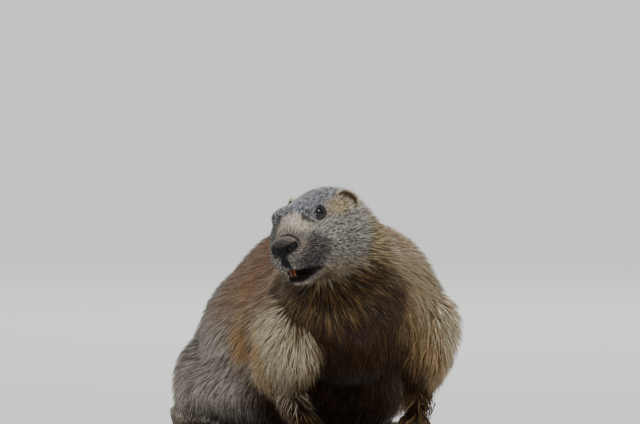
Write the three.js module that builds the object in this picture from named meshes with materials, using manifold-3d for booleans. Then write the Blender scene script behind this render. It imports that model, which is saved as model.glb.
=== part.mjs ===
// An alpine marmot on all fours with its head turned to its right, life size, in millimetres. +Z is up,
// the marmot faces -Y and its left is +X. The flesh is a blend of rounded forms, drawn as the surface
// where their joint distance is nil, and each named part is that surface inside a region of its own.
import * as THREE from "three";
import { mergeVertices } from "three/addons/utils/BufferGeometryUtils.js";
import Module from "manifold-3d";

const wasm = await Module();
wasm.setup();

// Driving dimensions
const GAP = 0.3; // between parts that touch
const BACK_HEIGHT = 218; // top of the coat over the ribs
const BODY_LENGTH = 340; // from the breast's root to the rump
const BELLY_HALF_WIDTH = 116;
const HEAD_LENGTH = 108; // nose tip to nape
const HEAD_TURN = 46; // degrees to the marmot's right
const HEAD_NOD = 9; // degrees below level
const HEAD_ROLL = 10; // degrees, left side up
const TAIL_LENGTH = 175;
const FOREPAW_LENGTH = 54;
const HINDFOOT_LENGTH = 84;
const COAT_DEPTH = 17; // skin to hair tips on the back and flanks
const FACE_COAT = 3;
const FOOT_COAT = 2;

// Vectors and angles
const vec = (x, y, z) => new THREE.Vector3(x, y, z);
const rad = THREE.MathUtils.degToRad;
const smooth = THREE.MathUtils.smoothstep;
const lerp = THREE.MathUtils.lerp;
const UP = vec(0, 0, 1);

// Blended forms. Each form is a function from a point to its distance from the form's surface, negative
// inside.
const offset = vec(0, 0, 0);

function blob(centre, radii) {
  return (p) => {
    offset.copy(p).sub(centre);
    const near = Math.hypot(offset.x / radii.x, offset.y / radii.y, offset.z / radii.z);
    const slope = Math.hypot(offset.x / radii.x ** 2, offset.y / radii.y ** 2, offset.z / radii.z ** 2);
    return slope < 1e-9 ? -Math.min(radii.x, radii.y, radii.z) : (near * (near - 1)) / slope;
  };
}

// A limb between two points, with a radius at each.
function limb(from, fromRadius, to, toRadius) {
  const along = to.clone().sub(from);
  const lengthSquared = along.lengthSq();
  return (p) => {
    offset.copy(p).sub(from);
    const share = THREE.MathUtils.clamp(offset.dot(along) / lengthSquared, 0, 1);
    return offset.addScaledVector(along, -share).length() - lerp(fromRadius, toRadius, share);
  };
}

// A chain of limbs through [point, radius] pairs.
function chain(blendWidth, joints) {
  const limbs = joints.slice(1).map(([point, radius], i) => limb(joints[i][0], joints[i][1], point, radius));
  return blend(blendWidth, limbs);
}

function blendTwo(a, b, width) {
  const share = Math.max(width - Math.abs(a - b), 0) / width;
  return Math.min(a, b) - share * share * width * 0.25;
}

function blend(width, forms) {
  return (p) => {
    let distance = forms[0](p);
    for (let i = 1; i < forms.length; i += 1) distance = blendTwo(distance, forms[i](p), width);
    return distance;
  };
}

// The same form on both sides of the plane x = 0.
function bothSides(form) {
  const mirrored = vec(0, 0, 0);
  return (p) => form(mirrored.set(Math.abs(p.x), p.y, p.z));
}

// Head. Its own frame has its origin on the midline under the brow: x to the marmot's left, -y to the
// nose, z up.
const NOSE_REACH = HEAD_LENGTH / 2;
const HEAD_CENTRE = vec(-78.4, -81.9, 209.4);
const headFrame = new THREE.Matrix4()
  .makeRotationZ(rad(-HEAD_TURN))
  .multiply(new THREE.Matrix4().makeRotationX(rad(HEAD_NOD)))
  .multiply(new THREE.Matrix4().makeRotationY(rad(-HEAD_ROLL)))
  .setPosition(HEAD_CENTRE);
const intoHead = headFrame.clone().invert();
const onHead = (x, y, z) => vec(x, y, z).applyMatrix4(headFrame);
const forwards = vec(0, -1, 0).transformDirection(headFrame);

const EYE = { centre: vec(19.2, -10.2, 13.8), radius: 6.3, axis: vec(0.86, -0.42, 0.28).normalize() };
const EYE_SLIT = { length: 11.8, height: 9.6, slant: 33 }; // slant in degrees, front corner down
const LID = 1.4;
const EAR = { centre: vec(29.5, 30, 15), height: 21, width: 20, depth: 10.8, wall: 2.4, turn: 40, tilt: 14 };
const MOUTH = { lip: -30, corner: vec(0, -24, -30), open: 9 };
const INCISOR = { width: 3.4, length: 9, thickness: 3, root: vec(2, -41, -28) };
const NOSTRIL = { centre: vec(7.2, -51, -8), radii: vec(1.7, 4, 2.2) };

const skull = bothSides(
  blend(12, [
    blob(vec(0, 20, 3), vec(33, 42, 25)),
    blob(vec(22, 12, -14), vec(21, 31, 28)),
    limb(vec(0, -5, 5), 20, vec(0, -40, -10), 12),
    limb(vec(8, -10, -13), 20, vec(6.5, -38, -16.5), 12.2),
  ]),
);
const brows = bothSides(blob(vec(14.5, -7, 17.5), vec(9, 15, 5.5)));
const orbits = bothSides(blob(EYE.centre.clone().sub(vec(1, -0.5, 0.5)), vec(7.8, 9.6, 8.2)));
const lowerJaw = bothSides(limb(vec(7, 15, -25), 17, vec(3.5, -30, -36), 8));
const headForm = blend(7, [skull, brows, lowerJaw, orbits]);
const noseForm = blend(4, [
  blob(vec(0, -45.5, -6.5), vec(13.4, 9.5, 9)),
  blob(vec(0, -45.5, -16), vec(7.5, 6.5, 9)),
]);

// Neck and trunk
const NAPE = onHead(0, 44, -12);
const WITHERS = vec(0, 26, 142);
const THROAT = vec(-26, -36, 156);
const neckForm = blend(30, [limb(NAPE, 40, WITHERS, 68), blob(THROAT, vec(54, 44, 50))]);
const trunkForm = blend(30, [
  blob(vec(0, 0.08 * BODY_LENGTH, 0.65 * BACK_HEIGHT), vec(76, 72, 70)),
  blob(vec(0, 0.4 * BODY_LENGTH, 0.6 * BACK_HEIGHT), vec(66, 135, 78)),
  blob(vec(0, 0.46 * BODY_LENGTH, 0.46 * BACK_HEIGHT), vec(0.84 * BELLY_HALF_WIDTH, 132, 78)),
  blob(vec(0, 0.54 * BODY_LENGTH, 58), vec(0.93 * BELLY_HALF_WIDTH, 135, 52)),
  blob(vec(0, 0.77 * BODY_LENGTH, 90), vec(72, 74, 80)),
]);

// Legs, each worked out from its joints. side is 1 on the marmot's left and -1 on its right.
const WRIST_HEIGHT = 22;
const ANKLE_HEIGHT = 24;
const forelegJoints = (side) => ({
  shoulder: vec(side * 60, 14, 118),
  elbow: vec(side * 70, 36, 84),
  wrist: vec(side * 50, 2, WRIST_HEIGHT),
});
const hindlegJoints = (side) => ({
  hip: vec(side * 46, 260, 84),
  knee: vec(side * 78, 214, 52),
  ankle: vec(side * 82, 262, ANKLE_HEIGHT),
});

function forelegForm(side) {
  const { shoulder, elbow, wrist } = forelegJoints(side);
  return blend(16, [
    blob(shoulder.clone().setZ(112), vec(37, 45, 52)),
    limb(shoulder, 30, elbow, 25),
    limb(elbow, 24, wrist, 15),
  ]);
}

function hindlegForm(side) {
  const { hip, knee, ankle } = hindlegJoints(side);
  return blend(20, [
    blob(hip.clone().lerp(knee, 0.5).setZ(50), vec(40, 70, 52)),
    limb(hip, 36, knee, 28),
    limb(knee, 24, ankle, 17),
  ]);
}

// Paws. A paw is a flat palm and a fan of toes; the toes of each kind are counted from the inner side.
const TOE_RADIUS = 5.6;
const paws = {
  fore: { toes: 4, palm: vec(17, 22, 12), spread: 9.4, fan: 7, toeLength: 20, claw: 13, reach: FOREPAW_LENGTH },
  hind: { toes: 5, palm: vec(18, 38, 13), spread: 8.6, fan: 5, toeLength: 22, claw: 11, reach: HINDFOOT_LENGTH },
};

function pawPlace(kind, side) {
  if (kind === "fore") return { heel: forelegJoints(side).wrist.clone().add(vec(0, 8, 0)), turn: side * 4 };
  return { heel: hindlegJoints(side).ankle.clone().add(vec(0, 10, 0)), turn: side * 7 };
}

// The toe's root, knuckle and tip, and the way it points.
function toeLine(kind, side, toe) {
  const { toes, spread, fan, reach, toeLength } = paws[kind];
  const { heel, turn } = pawPlace(kind, side);
  const place = side * (toe - (toes - 1) / 2);
  const pointing = (degrees) => vec(Math.sin(rad(degrees)), -Math.cos(rad(degrees)), 0);
  const ahead = pointing(turn + fan * place);
  const length = toeLength * (1 - 0.055 * place * place);
  const root = heel.clone().addScaledVector(pointing(turn), reach - toeLength - 2.2 * place * place).setZ(10);
  root.addScaledVector(pointing(turn + 90), spread * place);
  const knuckle = root.clone().addScaledVector(ahead, 0.45 * length).setZ(9.5);
  const tip = root.clone().addScaledVector(ahead, length).setZ(5);
  return { root, knuckle, tip, ahead };
}

function pawForm(kind, side) {
  const { toes, palm, reach } = paws[kind];
  const { heel, turn } = pawPlace(kind, side);
  const centre = vec(heel.x + 0.4 * reach * Math.sin(rad(turn)), heel.y - 0.4 * reach, 9);
  const forms = [blob(centre, palm), limb(heel.clone().setZ(12), 12, centre.clone().setZ(10), 11)];
  for (let toe = 0; toe < toes; toe += 1) {
    const { root, knuckle, tip } = toeLine(kind, side, toe);
    forms.push(chain(2, [[root, TOE_RADIUS + 1], [knuckle, TOE_RADIUS], [tip, TOE_RADIUS - 0.6]]));
  }
  return blend(3, forms);
}

// Tail, laid on the floor behind the rump.
const TAIL_ROOT = vec(-1, 0.93 * BODY_LENGTH, 60);
const tailJoints = [
  [TAIL_ROOT, 30],
  [vec(2, TAIL_ROOT.y + 0.24 * TAIL_LENGTH, 36), 29],
  [vec(9, TAIL_ROOT.y + 0.52 * TAIL_LENGTH, 28), 28],
  [vec(19, TAIL_ROOT.y + 0.78 * TAIL_LENGTH, 23), 23],
  [vec(26, TAIL_ROOT.y + 0.93 * TAIL_LENGTH, 17), 15],
];
const tailForm = chain(8, tailJoints);
const tailCurve = new THREE.CatmullRomCurve3(tailJoints.map(([point]) => point));

// The whole outline, out to the tips of the coat. The paws are drawn apart, each with its own leg.
const legForms = [-1, 1].flatMap((side) => [forelegForm(side), hindlegForm(side)]);
const headPoint = vec(0, 0, 0);

function outline(p) {
  const head = headForm(headPoint.copy(p).applyMatrix4(intoHead));
  let body = blendTwo(trunkForm(p), neckForm(p), 30);
  for (const leg of legForms) body = blendTwo(body, leg(p), 14);
  body = blendTwo(body, tailForm(p), 16);
  return blendTwo(body, head, 16);
}

// The coat's depth: short on the face and feet, deep on the neck, body and tail.
function coatDepth(p) {
  const inHead = headPoint.copy(p).applyMatrix4(intoHead);
  const behindFace = smooth(inHead.y - 0.3 * inHead.z, -12, 44);
  const nearHead = 1 - smooth(inHead.length(), 62, 88);
  const aboveFeet = smooth(p.z, 26, 62) + smooth(p.y, 300, 330);
  const body = lerp(FOOT_COAT, COAT_DEPTH, Math.min(aboveFeet, 1));
  return lerp(body, lerp(FACE_COAT, COAT_DEPTH, behindFace), nearHead);
}

// The core lies half way between the tips and the skin. Where the coat is short, it reaches the tips.
const CORE_SHARE = 0.5;
const SHORT_COAT = 1.5;
const coreDepth = (p) => Math.max(CORE_SHARE * coatDepth(p) - SHORT_COAT, 0);
const core = (p) => outline(p) + coreDepth(p);

function footOf(kind, side) {
  const leg = kind === "fore" ? forelegForm(side) : hindlegForm(side);
  return blend(6, [leg, pawForm(kind, side)]);
}

function slope(field, p, out) {
  const step = 0.4;
  const at = (x, y, z) => field(vec(p.x + x, p.y + y, p.z + z));
  return out.set(
    at(step, 0, 0) - at(-step, 0, 0),
    at(0, step, 0) - at(0, -step, 0),
    at(0, 0, step) - at(0, 0, -step),
  ).divideScalar(2 * step);
}

// Moves a point along the field's slope until the field has the wanted value there.
function settle(field, p, wanted = 0, rounds = 3) {
  const way = vec(0, 0, 0);
  for (let i = 0; i < rounds; i += 1) {
    slope(field, p, way);
    p.addScaledVector(way, (wanted - field(p)) / Math.max(way.lengthSq(), 0.05));
  }
  return p;
}

// Marks along an axis: a start, then pairs of an end and the step up to it.
function marks(start, ...spans) {
  const list = [start];
  for (const [end, step] of spans) {
    const from = list[list.length - 1];
    const parts = Math.max(1, Math.round((end - from) / step));
    for (let i = 1; i <= parts; i += 1) list.push(from + ((end - from) * i) / parts);
  }
  return list;
}

// Whether any edge is shared by more than two faces, which happens where two sheets of a surface meet in
// a cell.
function isPinched(faces) {
  const uses = new Map();
  for (let t = 0; t < faces.length; t += 3)
    for (let corner = 0; corner < 3; corner += 1) {
      const [a, b] = [faces[t + corner], faces[t + ((corner + 1) % 3)]];
      const key = Math.min(a, b) * 1e6 + Math.max(a, b);
      uses.set(key, (uses.get(key) ?? 0) + 1);
    }
  return [...uses.values()].some((count) => count > 2);
}

// A closed mesh of the surface where a field is nil, inside the grid of the marks on three axes. The
// grid is moved a little where it would pinch the surface.
function surfaceOf(field, marksX, marksY, marksZ, frame) {
  for (let shift = 0; shift < 2.5; shift += 0.4) {
    const moved = [marksX, marksY, marksZ].map((list) => list.map((mark) => mark + shift));
    const geometry = surfaceOnGrid(field, ...moved, frame);
    if (!isPinched(geometry.index.array)) return geometry;
  }
  throw new Error("the surface is pinched on every grid");
}

// The corners of a grid cell are numbered 0 to 7, by their bits in x, y and z. This gives the corners
// inside the surface in groups that are joined along the cell's edges.
function insideGroups(inside) {
  const left = new Set([0, 1, 2, 3, 4, 5, 6, 7].filter((corner) => inside[corner]));
  const groups = [];
  for (const first of left) {
    const group = [first];
    left.delete(first);
    for (const corner of group)
      for (const bit of [1, 2, 4]) if (left.delete(corner ^ bit)) group.push(corner ^ bit);
    groups.push(group);
  }
  return groups;
}

// Each group of inside corners of a cell has one vertex, and each grid edge that the surface crosses
// makes a four-sided face round it.
function surfaceOnGrid(field, marksX, marksY, marksZ, frame = new THREE.Matrix4()) {
  const [nx, ny, nz] = [marksX.length, marksY.length, marksZ.length];
  const steps = [1, nx, nx * ny];
  const index = (i, j, k) => i + nx * (j + ny * k);
  const place = (i, j, k) => vec(marksX[i], marksY[j], marksZ[k]);
  const values = new Float32Array(nx * ny * nz).fill(4);
  for (let k = 1; k < nz - 1; k += 1)
    for (let j = 1; j < ny - 1; j += 1)
      for (let i = 1; i < nx - 1; i += 1)
        values[index(i, j, k)] = field(place(i, j, k).applyMatrix4(frame)) || 1e-6;

  const cornerStep = [0, 1, 2, 3, 4, 5, 6, 7].map((c) => (c & 1) + nx * ((c >> 1) & 1) + nx * ny * (c >> 2));
  const vertexOf = new Int32Array(8 * nx * ny * nz).fill(-1);
  const positions = [];
  for (let k = 0; k < nz - 1; k += 1)
    for (let j = 0; j < ny - 1; j += 1)
      for (let i = 0; i < nx - 1; i += 1) {
        const cell = index(i, j, k);
        const at = cornerStep.map((step) => values[cell + step]);
        if (Math.min(...at) >= 0 || Math.max(...at) < 0) continue;
        const size = place(i + 1, j + 1, k + 1).sub(place(i, j, k));
        const inner = Math.min(i, j, k) > 0 && i < nx - 2 && j < ny - 2 && k < nz - 2;
        for (const group of insideGroups(at.map((value) => value < 0))) {
          const sum = vec(0, 0, 0);
          let crossings = 0;
          for (const corner of group)
            for (let axis = 0; axis < 3; axis += 1) {
              const next = corner ^ (1 << axis);
              if (at[next] < 0) continue;
              const share = at[corner] / (at[corner] - at[next]);
              const crossing = [corner & 1, (corner >> 1) & 1, corner >> 2];
              crossing[axis] += next > corner ? share : -share;
              sum.add(vec(...crossing));
              crossings += 1;
            }
          const point = place(i, j, k).add(sum.divideScalar(crossings).multiply(size)).applyMatrix4(frame);
          const drawn = settle(field, point.clone(), 0, 2);
          if (inner && drawn.distanceTo(point) < 0.3 * size.length()) point.copy(drawn);
          for (const corner of group) vertexOf[8 * cell + corner] = positions.length / 3;
          positions.push(point.x, point.y, point.z);
        }
      }

  const faces = [];
  for (let corner = 0; corner < values.length - nx * ny - nx - 1; corner += 1)
    for (let axis = 0; axis < 3; axis += 1) {
      const [start, end] = [values[corner], values[corner + steps[axis]]];
      if (start < 0 === end < 0) continue;
      const [b, c] = [(axis + 1) % 3, (axis + 2) % 3];
      const insideEnd = start < 0 ? 0 : 1 << axis;
      const round = [[1, 1], [0, 1], [0, 0], [1, 0]].map(([backB, backC]) => {
        const cell = corner - backB * steps[b] - backC * steps[c];
        return vertexOf[8 * cell + (insideEnd | (backB << b) | (backC << c))];
      });
      if (start > 0) round.reverse();
      faces.push(round[0], round[1], round[2], round[0], round[2], round[3]);
    }
  const geometry = new THREE.BufferGeometry();
  geometry.setAttribute("position", new THREE.Float32BufferAttribute(positions, 3));
  geometry.setIndex(faces);
  return geometry;
}

// Solids: three.js geometry in, manifold-3d solid out, and back.
function toSolid(geometry) {
  const bare = new THREE.BufferGeometry();
  bare.setAttribute("position", geometry.getAttribute("position"));
  if (geometry.index) bare.setIndex(geometry.index);
  const merged = mergeVertices(bare, 1e-4);
  const mesh = new wasm.Mesh({
    numProp: 3,
    vertProperties: new Float32Array(merged.attributes.position.array),
    triVerts: new Uint32Array(merged.index.array),
  });
  return new wasm.Manifold(mesh);
}

// Closes the edges shorter than shortest that cuts leave, with the slivers on them.
function withoutSlivers(mesh, shortest) {
  const { vertProperties: xyz, triVerts } = mesh;
  const target = Uint32Array.from({ length: xyz.length / 3 }, (_, i) => i);
  const find = (i) => {
    while (target[i] !== i) i = target[i];
    return i;
  };
  const point = (i) => vec(xyz[3 * i], xyz[3 * i + 1], xyz[3 * i + 2]);
  for (let t = 0; t < triVerts.length; t += 3)
    for (let corner = 0; corner < 3; corner += 1) {
      const [a, b] = [find(triVerts[t + corner]), find(triVerts[t + ((corner + 1) % 3)])];
      if (a !== b && point(a).distanceTo(point(b)) < shortest) target[Math.max(a, b)] = Math.min(a, b);
    }
  const faces = new Map();
  for (let t = 0; t < triVerts.length; t += 3) {
    const face = [0, 1, 2].map((corner) => find(triVerts[t + corner]));
    if (new Set(face).size < 3) continue;
    const key = [...face].sort((a, b) => a - b).join();
    if (faces.has(key)) faces.delete(key);
    else faces.set(key, face);
  }
  const geometry = new THREE.BufferGeometry();
  geometry.setAttribute("position", new THREE.Float32BufferAttribute(xyz, 3));
  geometry.setIndex([...faces.values()].flat());
  return geometry;
}

function toGeometry(solid) {
  const mesh = solid.getMesh();
  const lengths = [0.05, 0.02, 0.1, 0.16, 0.01, 0];
  const attempts = lengths.map((shortest) => mergeVertices(withoutSlivers(mesh, shortest), 1e-5));
  const isSound = (attempt) => !isPinched(mergeVertices(attempt, 1e-3).index.array);
  const geometry = attempts.find(isSound) ?? attempts[0];
  geometry.computeVertexNormals();
  return geometry;
}

const placed = (geometry, matrix) => toSolid(geometry.applyMatrix4(matrix));
const larger = (one, other) => (other.volume() > one.volume() ? other : one);
const largest = (solid) => solid.decompose().reduce(larger);
const joinAll = (solids) => solids.reduce((all, one) => all.add(one));
const HALF_SPACE = 1400;

// Everything on the side of a plane that its normal points to.
function beyond(point, normal, grow = 0) {
  const turn = new THREE.Quaternion().setFromUnitVectors(UP, normal);
  const centre = point.clone().addScaledVector(normal, HALF_SPACE / 2 - grow);
  const matrix = new THREE.Matrix4().compose(centre, turn, vec(1, 1, 1));
  return placed(new THREE.BoxGeometry(HALF_SPACE, HALF_SPACE, HALF_SPACE), matrix);
}

function ellipsoid(centre, radii, turn = new THREE.Euler(), grow = 0) {
  const scale = radii.clone().addScalar(grow);
  const matrix = new THREE.Matrix4().compose(centre, new THREE.Quaternion().setFromEuler(turn), scale);
  return placed(new THREE.SphereGeometry(1, 12, 7), matrix);
}

// A closed body that tapers along a path to a point: rings of corners across the path, with a flat root.
// width and thickness are functions of the share of the path, and facing is the direction of the thin
// side.
function tapered(path, width, thickness, facing, corners) {
  const last = path.length - 1;
  const positions = [];
  const faces = [];
  for (let ring = 0; ring < last; ring += 1) {
    const along = path[ring + 1].clone().sub(path[Math.max(ring - 1, 0)]).normalize();
    const across = facing[ring].clone().cross(along).normalize();
    const out = along.clone().cross(across);
    for (let corner = 0; corner < corners; corner += 1) {
      const angle = (2 * Math.PI * corner) / corners;
      const point = path[ring].clone();
      point.addScaledVector(across, (Math.cos(angle) * width(ring / last)) / 2);
      point.addScaledVector(out, (Math.sin(angle) * thickness(ring / last)) / 2);
      positions.push(...point.toArray());
    }
  }
  positions.push(...path[last].toArray());
  const tip = last * corners;
  for (let corner = 0; corner < corners; corner += 1) {
    const next = (corner + 1) % corners;
    for (let ring = 0; ring < last - 1; ring += 1) {
      const [a, b] = [ring * corners + corner, ring * corners + next];
      faces.push(a, b, b + corners, a, b + corners, a + corners);
    }
    faces.push(tip - corners + corner, tip - corners + next, tip);
    if (corner > 1) faces.push(0, corner, corner - 1);
  }
  const geometry = new THREE.BufferGeometry();
  geometry.setAttribute("position", new THREE.Float32BufferAttribute(positions, 3));
  geometry.setIndex(faces);
  return toSolid(geometry);
}

// The coat's lie: away from the nose on the head and neck, then back and down, down the legs, along the
// tail.
const NOSE_TIP = onHead(0, -NOSE_REACH, -8);

function lie(p, out) {
  const away = vec(0, 0, 0).subVectors(p, NOSE_TIP).normalize();
  const low = 1 - smooth(p.z, 50, 130);
  const back = vec(0, 1, -0.35 - 0.75 * low).normalize();
  back.lerp(vec(0, 0.35, -1), low * (1 - smooth(p.y, 40, 90)));
  back.lerp(vec(0.1, 1, -0.05), smooth(p.y, 318, 350));
  return out.copy(away.lerp(back, smooth(p.distanceTo(NOSE_TIP), 90, 230))).normalize();
}

// Locks of hair, in millimetres. Each is flat and tapers to its tip, with its root sunk in the core.
const lockSizes = {
  cheek: { length: 44, width: 20, thickness: 5, spacing: 28 },
  ruff: { length: 72, width: 28, thickness: 7, spacing: 36 },
  body: { length: 92, width: 39, thickness: 7.5, spacing: 49 },
  leg: { length: 64, width: 28, thickness: 6.5, spacing: 42 },
  tail: { length: 62, width: 24, thickness: 7, spacing: 31 },
};
const ROOT_SINK = 5;

function lockKind(p) {
  const inHead = vec(0, 0, 0).copy(p).applyMatrix4(intoHead);
  if (inHead.length() < 74) return inHead.y - 0.3 * inHead.z > 22 ? "cheek" : null;
  if (p.y > 322) return p.y < TAIL_ROOT.y + 0.72 * TAIL_LENGTH ? "tail" : null;
  if (p.z < 34) return null;
  if (p.z < 84 && (p.y < 84 || Math.abs(p.x) > 74)) return "leg";
  return p.distanceTo(NOSE_TIP) < 190 ? "ruff" : "body";
}

// A stream of numbers from 0 to 1 that is the same on every run.
function seeded(seed) {
  let state = seed;
  return () => {
    state = (state * 1664525 + 1013904223) % 4294967296;
    return state / 4294967296;
  };
}

// Points on a mesh, at least the lock's spacing apart.
function lockRoots(geometry, seed, tries) {
  const random = seeded(seed);
  const { position } = geometry.attributes;
  const corner = (i) => new THREE.Vector3().fromBufferAttribute(position, geometry.index.getX(i));
  const triangles = [];
  let area = 0;
  for (let i = 0; i < geometry.index.count; i += 3) {
    const triangle = new THREE.Triangle(corner(i), corner(i + 1), corner(i + 2));
    area += triangle.getArea();
    triangles.push({ triangle, area });
  }
  const roots = [];
  for (let i = 0; i < tries; i += 1) {
    const wanted = random() * area;
    let [low, high] = [0, triangles.length - 1];
    while (low < high) {
      const half = (low + high) >> 1;
      if (triangles[half].area < wanted) low = half + 1;
      else high = half;
    }
    const { a, b, c } = triangles[low].triangle;
    const [u, v] = [Math.sqrt(random()), random()];
    const point = a.clone().multiplyScalar(1 - u).addScaledVector(b, u * (1 - v)).addScaledVector(c, u * v);
    const kind = lockKind(point);
    if (!kind) continue;
    const room = lockSizes[kind].spacing;
    const clear = roots.every((root) => root.point.distanceTo(point) > room);
    if (clear) roots.push({ point, kind, turn: random() - 0.5 });
  }
  return roots;
}

// One lock: it leaves the core at a low angle, follows the lie and the body's shape, and ends at the
// outline.
const LOCK_STEPS = [
  { share: 0, height: -0.4 },
  { share: 0.34, height: 0.55 },
  { share: 0.68, height: 0.92 },
  { share: 1, height: 1 },
];

function lockOf({ point, kind, turn }) {
  const { length, width, thickness } = lockSizes[kind];
  const path = [];
  const facing = [];
  const way = vec(0, 0, 0);
  const normal = vec(0, 0, 0);
  const here = point.clone();
  let before = 0;
  for (const { share, height } of LOCK_STEPS) {
    slope(outline, here, normal).normalize();
    lie(here, way).addScaledVector(normal, -way.dot(normal)).normalize();
    way.applyAxisAngle(normal, 0.5 * turn).multiplyScalar(length * (0.9 + 0.2 * turn) * (share - before));
    here.add(way);
    const depth = Math.max(coreDepth(here), 2);
    const level = height < 0 ? -depth - ROOT_SINK : (height - 1) * depth - 0.4 * thickness * (1 - share);
    settle(outline, here, level, 2);
    path.push(here.clone());
    facing.push(slope(outline, here, vec(0, 0, 0)).normalize());
    before = share;
  }
  const broad = (share) => width * (share < 0.5 ? 0.75 + 0.6 * share : 1.2 - 0.3 * share);
  const thick = (share) => thickness * (1 - 0.45 * share);
  return tapered(path, broad, thick, facing, 4);
}

// Regions of the named parts
const HEAD_SEAM = {
  point: onHead(0, 42, 10),
  normal: vec(0, -0.9, 0.42).normalize().transformDirection(headFrame),
};
const NECK_SEAM = { point: vec(-10, -14, 168), normal: vec(-0.36, -0.72, 0.6).normalize() };
const LOIN_SEAM = { point: vec(0, 0.4 * BODY_LENGTH, 0), normal: vec(0, 1, 0) };
const TAIL_SEAM = { point: vec(0, TAIL_ROOT.y + 24, 40), normal: vec(0, 0.86, -0.5).normalize() };
const TAIL_TIP_SEAM = { point: tailJoints[2][0], normal: tailCurve.getTangentAt(0.5) };

const forelegRegion = (side, grow = 0) =>
  ellipsoid(vec(side * 78, 18, 70), vec(50, 56, 96), new THREE.Euler(0, rad(-side * 8), 0), grow);
const hindlegRegion = (side, grow = 0) =>
  ellipsoid(vec(side * 100, 242, 52), vec(56, 86, 74), new THREE.Euler(0, rad(-side * 10), 0), grow);
const forepawRegion = (side, grow = 0) =>
  beyond(vec(side * 50, 0, WRIST_HEIGHT - 1), vec(0, -0.3, -1).normalize(), grow).intersect(
    ellipsoid(vec(side * 52, -20, 0), vec(38, 60, 40), new THREE.Euler(), grow),
  );
const hindfootRegion = (side, grow = 0) =>
  beyond(vec(side * 84, 262, ANKLE_HEIGHT - 2), vec(0, 0, -1), grow).intersect(
    ellipsoid(vec(side * 88, 230, 0), vec(42, 78, 40), new THREE.Euler(), grow),
  );

// A claw grows out of the toe's tip and curves down to the floor.
function clawOf(kind, side, toe, grow = 0) {
  const { tip, ahead } = toeLine(kind, side, toe);
  const { claw } = paws[kind];
  const path = [-0.3, 0.1, 0.55, 1].map((share) => {
    const point = tip.clone().addScaledVector(ahead, claw * share + (share < 0 ? 1 - grow : 1));
    point.z += 2.2 - 6 * Math.max(share, 0) ** 2 - (share < 0 ? 0.5 : 0);
    return point;
  });
  const across = path.map(() => vec(-ahead.y, ahead.x, 0));
  const thick = (share) => lerp(3.2, 1.5, share) + 2 * grow;
  return tapered(path, (share) => lerp(4.2, 2, share) + 2 * grow, thick, across, 5);
}

const build = new THREE.Group();
const coatColours = {
  grey: 0x8d8478,
  straw: 0xb9a684,
  rust: 0x9a7450,
  slate: 0x77767a,
  dark: 0x2e2723,
  brown: 0x6b5139,
};

function addNode(name, solid, colour, roughness = 0.9) {
  const material = new THREE.MeshStandardMaterial({ color: colour, roughness, metalness: 0 });
  const mesh = new THREE.Mesh(toGeometry(solid), material);
  mesh.name = name;
  build.add(mesh);
}

const floor = beyond(vec(0, 0, 0), UP);
const noseMarks = [marks(-20, [20, 4.6]), marks(-64, [-30, 4.6]), marks(-34, [8, 4.7])];
const headMesh = surfaceOf(
  core,
  marks(-60, [-26, 9.5], [26, 5.8], [60, 9.5]),
  marks(-66, [-8, 5.6], [78, 10]),
  marks(-64, [-12, 5.4], [28, 6], [52, 8]),
  headFrame,
);
const bodyMesh = surfaceOf(
  core,
  marks(-154, [-98, 21], [-30, 18], [30, 23], [98, 18], [154, 21]),
  marks(-140, [-40, 20], [76, 17], [300, 23], [330, 16], [560, 15]),
  marks(-13, [65, 15], [280, 21]),
);
const drawn = {
  head: toSolid(headMesh),
  body: toSolid(bodyMesh),
  nose: toSolid(surfaceOf(noseForm, ...noseMarks)),
  nosePocket: toSolid(surfaceOf((p) => noseForm(p) - 2 * GAP, ...noseMarks)),
};
const locks = joinAll(lockRoots(bodyMesh, 11, 9000).map(lockOf));
const coat = drawn.body.add(locks).intersect(floor);

// Eyes, lids and ears, on one side each.
const eyePlace = (side) => onHead(side * EYE.centre.x, EYE.centre.y, EYE.centre.z);
const ball = (centre, radius) =>
  placed(new THREE.IcosahedronGeometry(radius, 2), new THREE.Matrix4().setPosition(centre));

// A prism with the outline of the open lids, pushed out along the eye's axis.
function lidOpening(side) {
  const half = EYE_SLIT.length / 2;
  const shape = new THREE.Shape();
  shape.moveTo(-half, 0);
  shape.quadraticCurveTo(0, -EYE_SLIT.height, half, 0);
  shape.quadraticCurveTo(0, EYE_SLIT.height, -half, 0);
  const prism = new THREE.ExtrudeGeometry(shape, { depth: 20, bevelEnabled: false, curveSegments: 6 });
  const axis = vec(side * EYE.axis.x, EYE.axis.y, EYE.axis.z);
  const back = vec(0, Math.cos(rad(EYE_SLIT.slant)), Math.sin(rad(EYE_SLIT.slant)));
  const along = back.addScaledVector(axis, -back.dot(axis)).normalize();
  const turn = new THREE.Matrix4().makeBasis(along, axis.clone().cross(along), axis);
  turn.setPosition(side * EYE.centre.x, EYE.centre.y, EYE.centre.z).premultiply(headFrame);
  return placed(prism, turn);
}

function headEllipsoid(centre, radii, side = 1, turn = new THREE.Euler(), grow = 0) {
  const placeInHead = vec(side * centre.x, centre.y, centre.z);
  const matrix = new THREE.Matrix4().compose(
    placeInHead,
    new THREE.Quaternion().setFromEuler(turn),
    radii.clone().addScalar(grow),
  );
  return placed(new THREE.SphereGeometry(1, 10, 6), matrix.premultiply(headFrame));
}

// The ear is a low round cup that opens outwards, forwards and a little upwards.
const earTurn = (side) => new THREE.Euler(rad(-EAR.tilt), 0, rad(side * EAR.turn));
const earOpening = vec(0, -1, 0).applyEuler(earTurn(1));

function earShell(side, grow = 0) {
  const radii = vec(EAR.width, EAR.depth, EAR.height).divideScalar(2);
  return headEllipsoid(EAR.centre, radii, side, earTurn(side), grow);
}

function earCup(side) {
  const centre = EAR.centre.clone().addScaledVector(earOpening, 0.4 * EAR.depth);
  const radii = vec(EAR.width / 2 - EAR.wall, EAR.depth / 2, EAR.height / 2 - EAR.wall);
  return headEllipsoid(centre, radii, side, earTurn(side));
}

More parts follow.
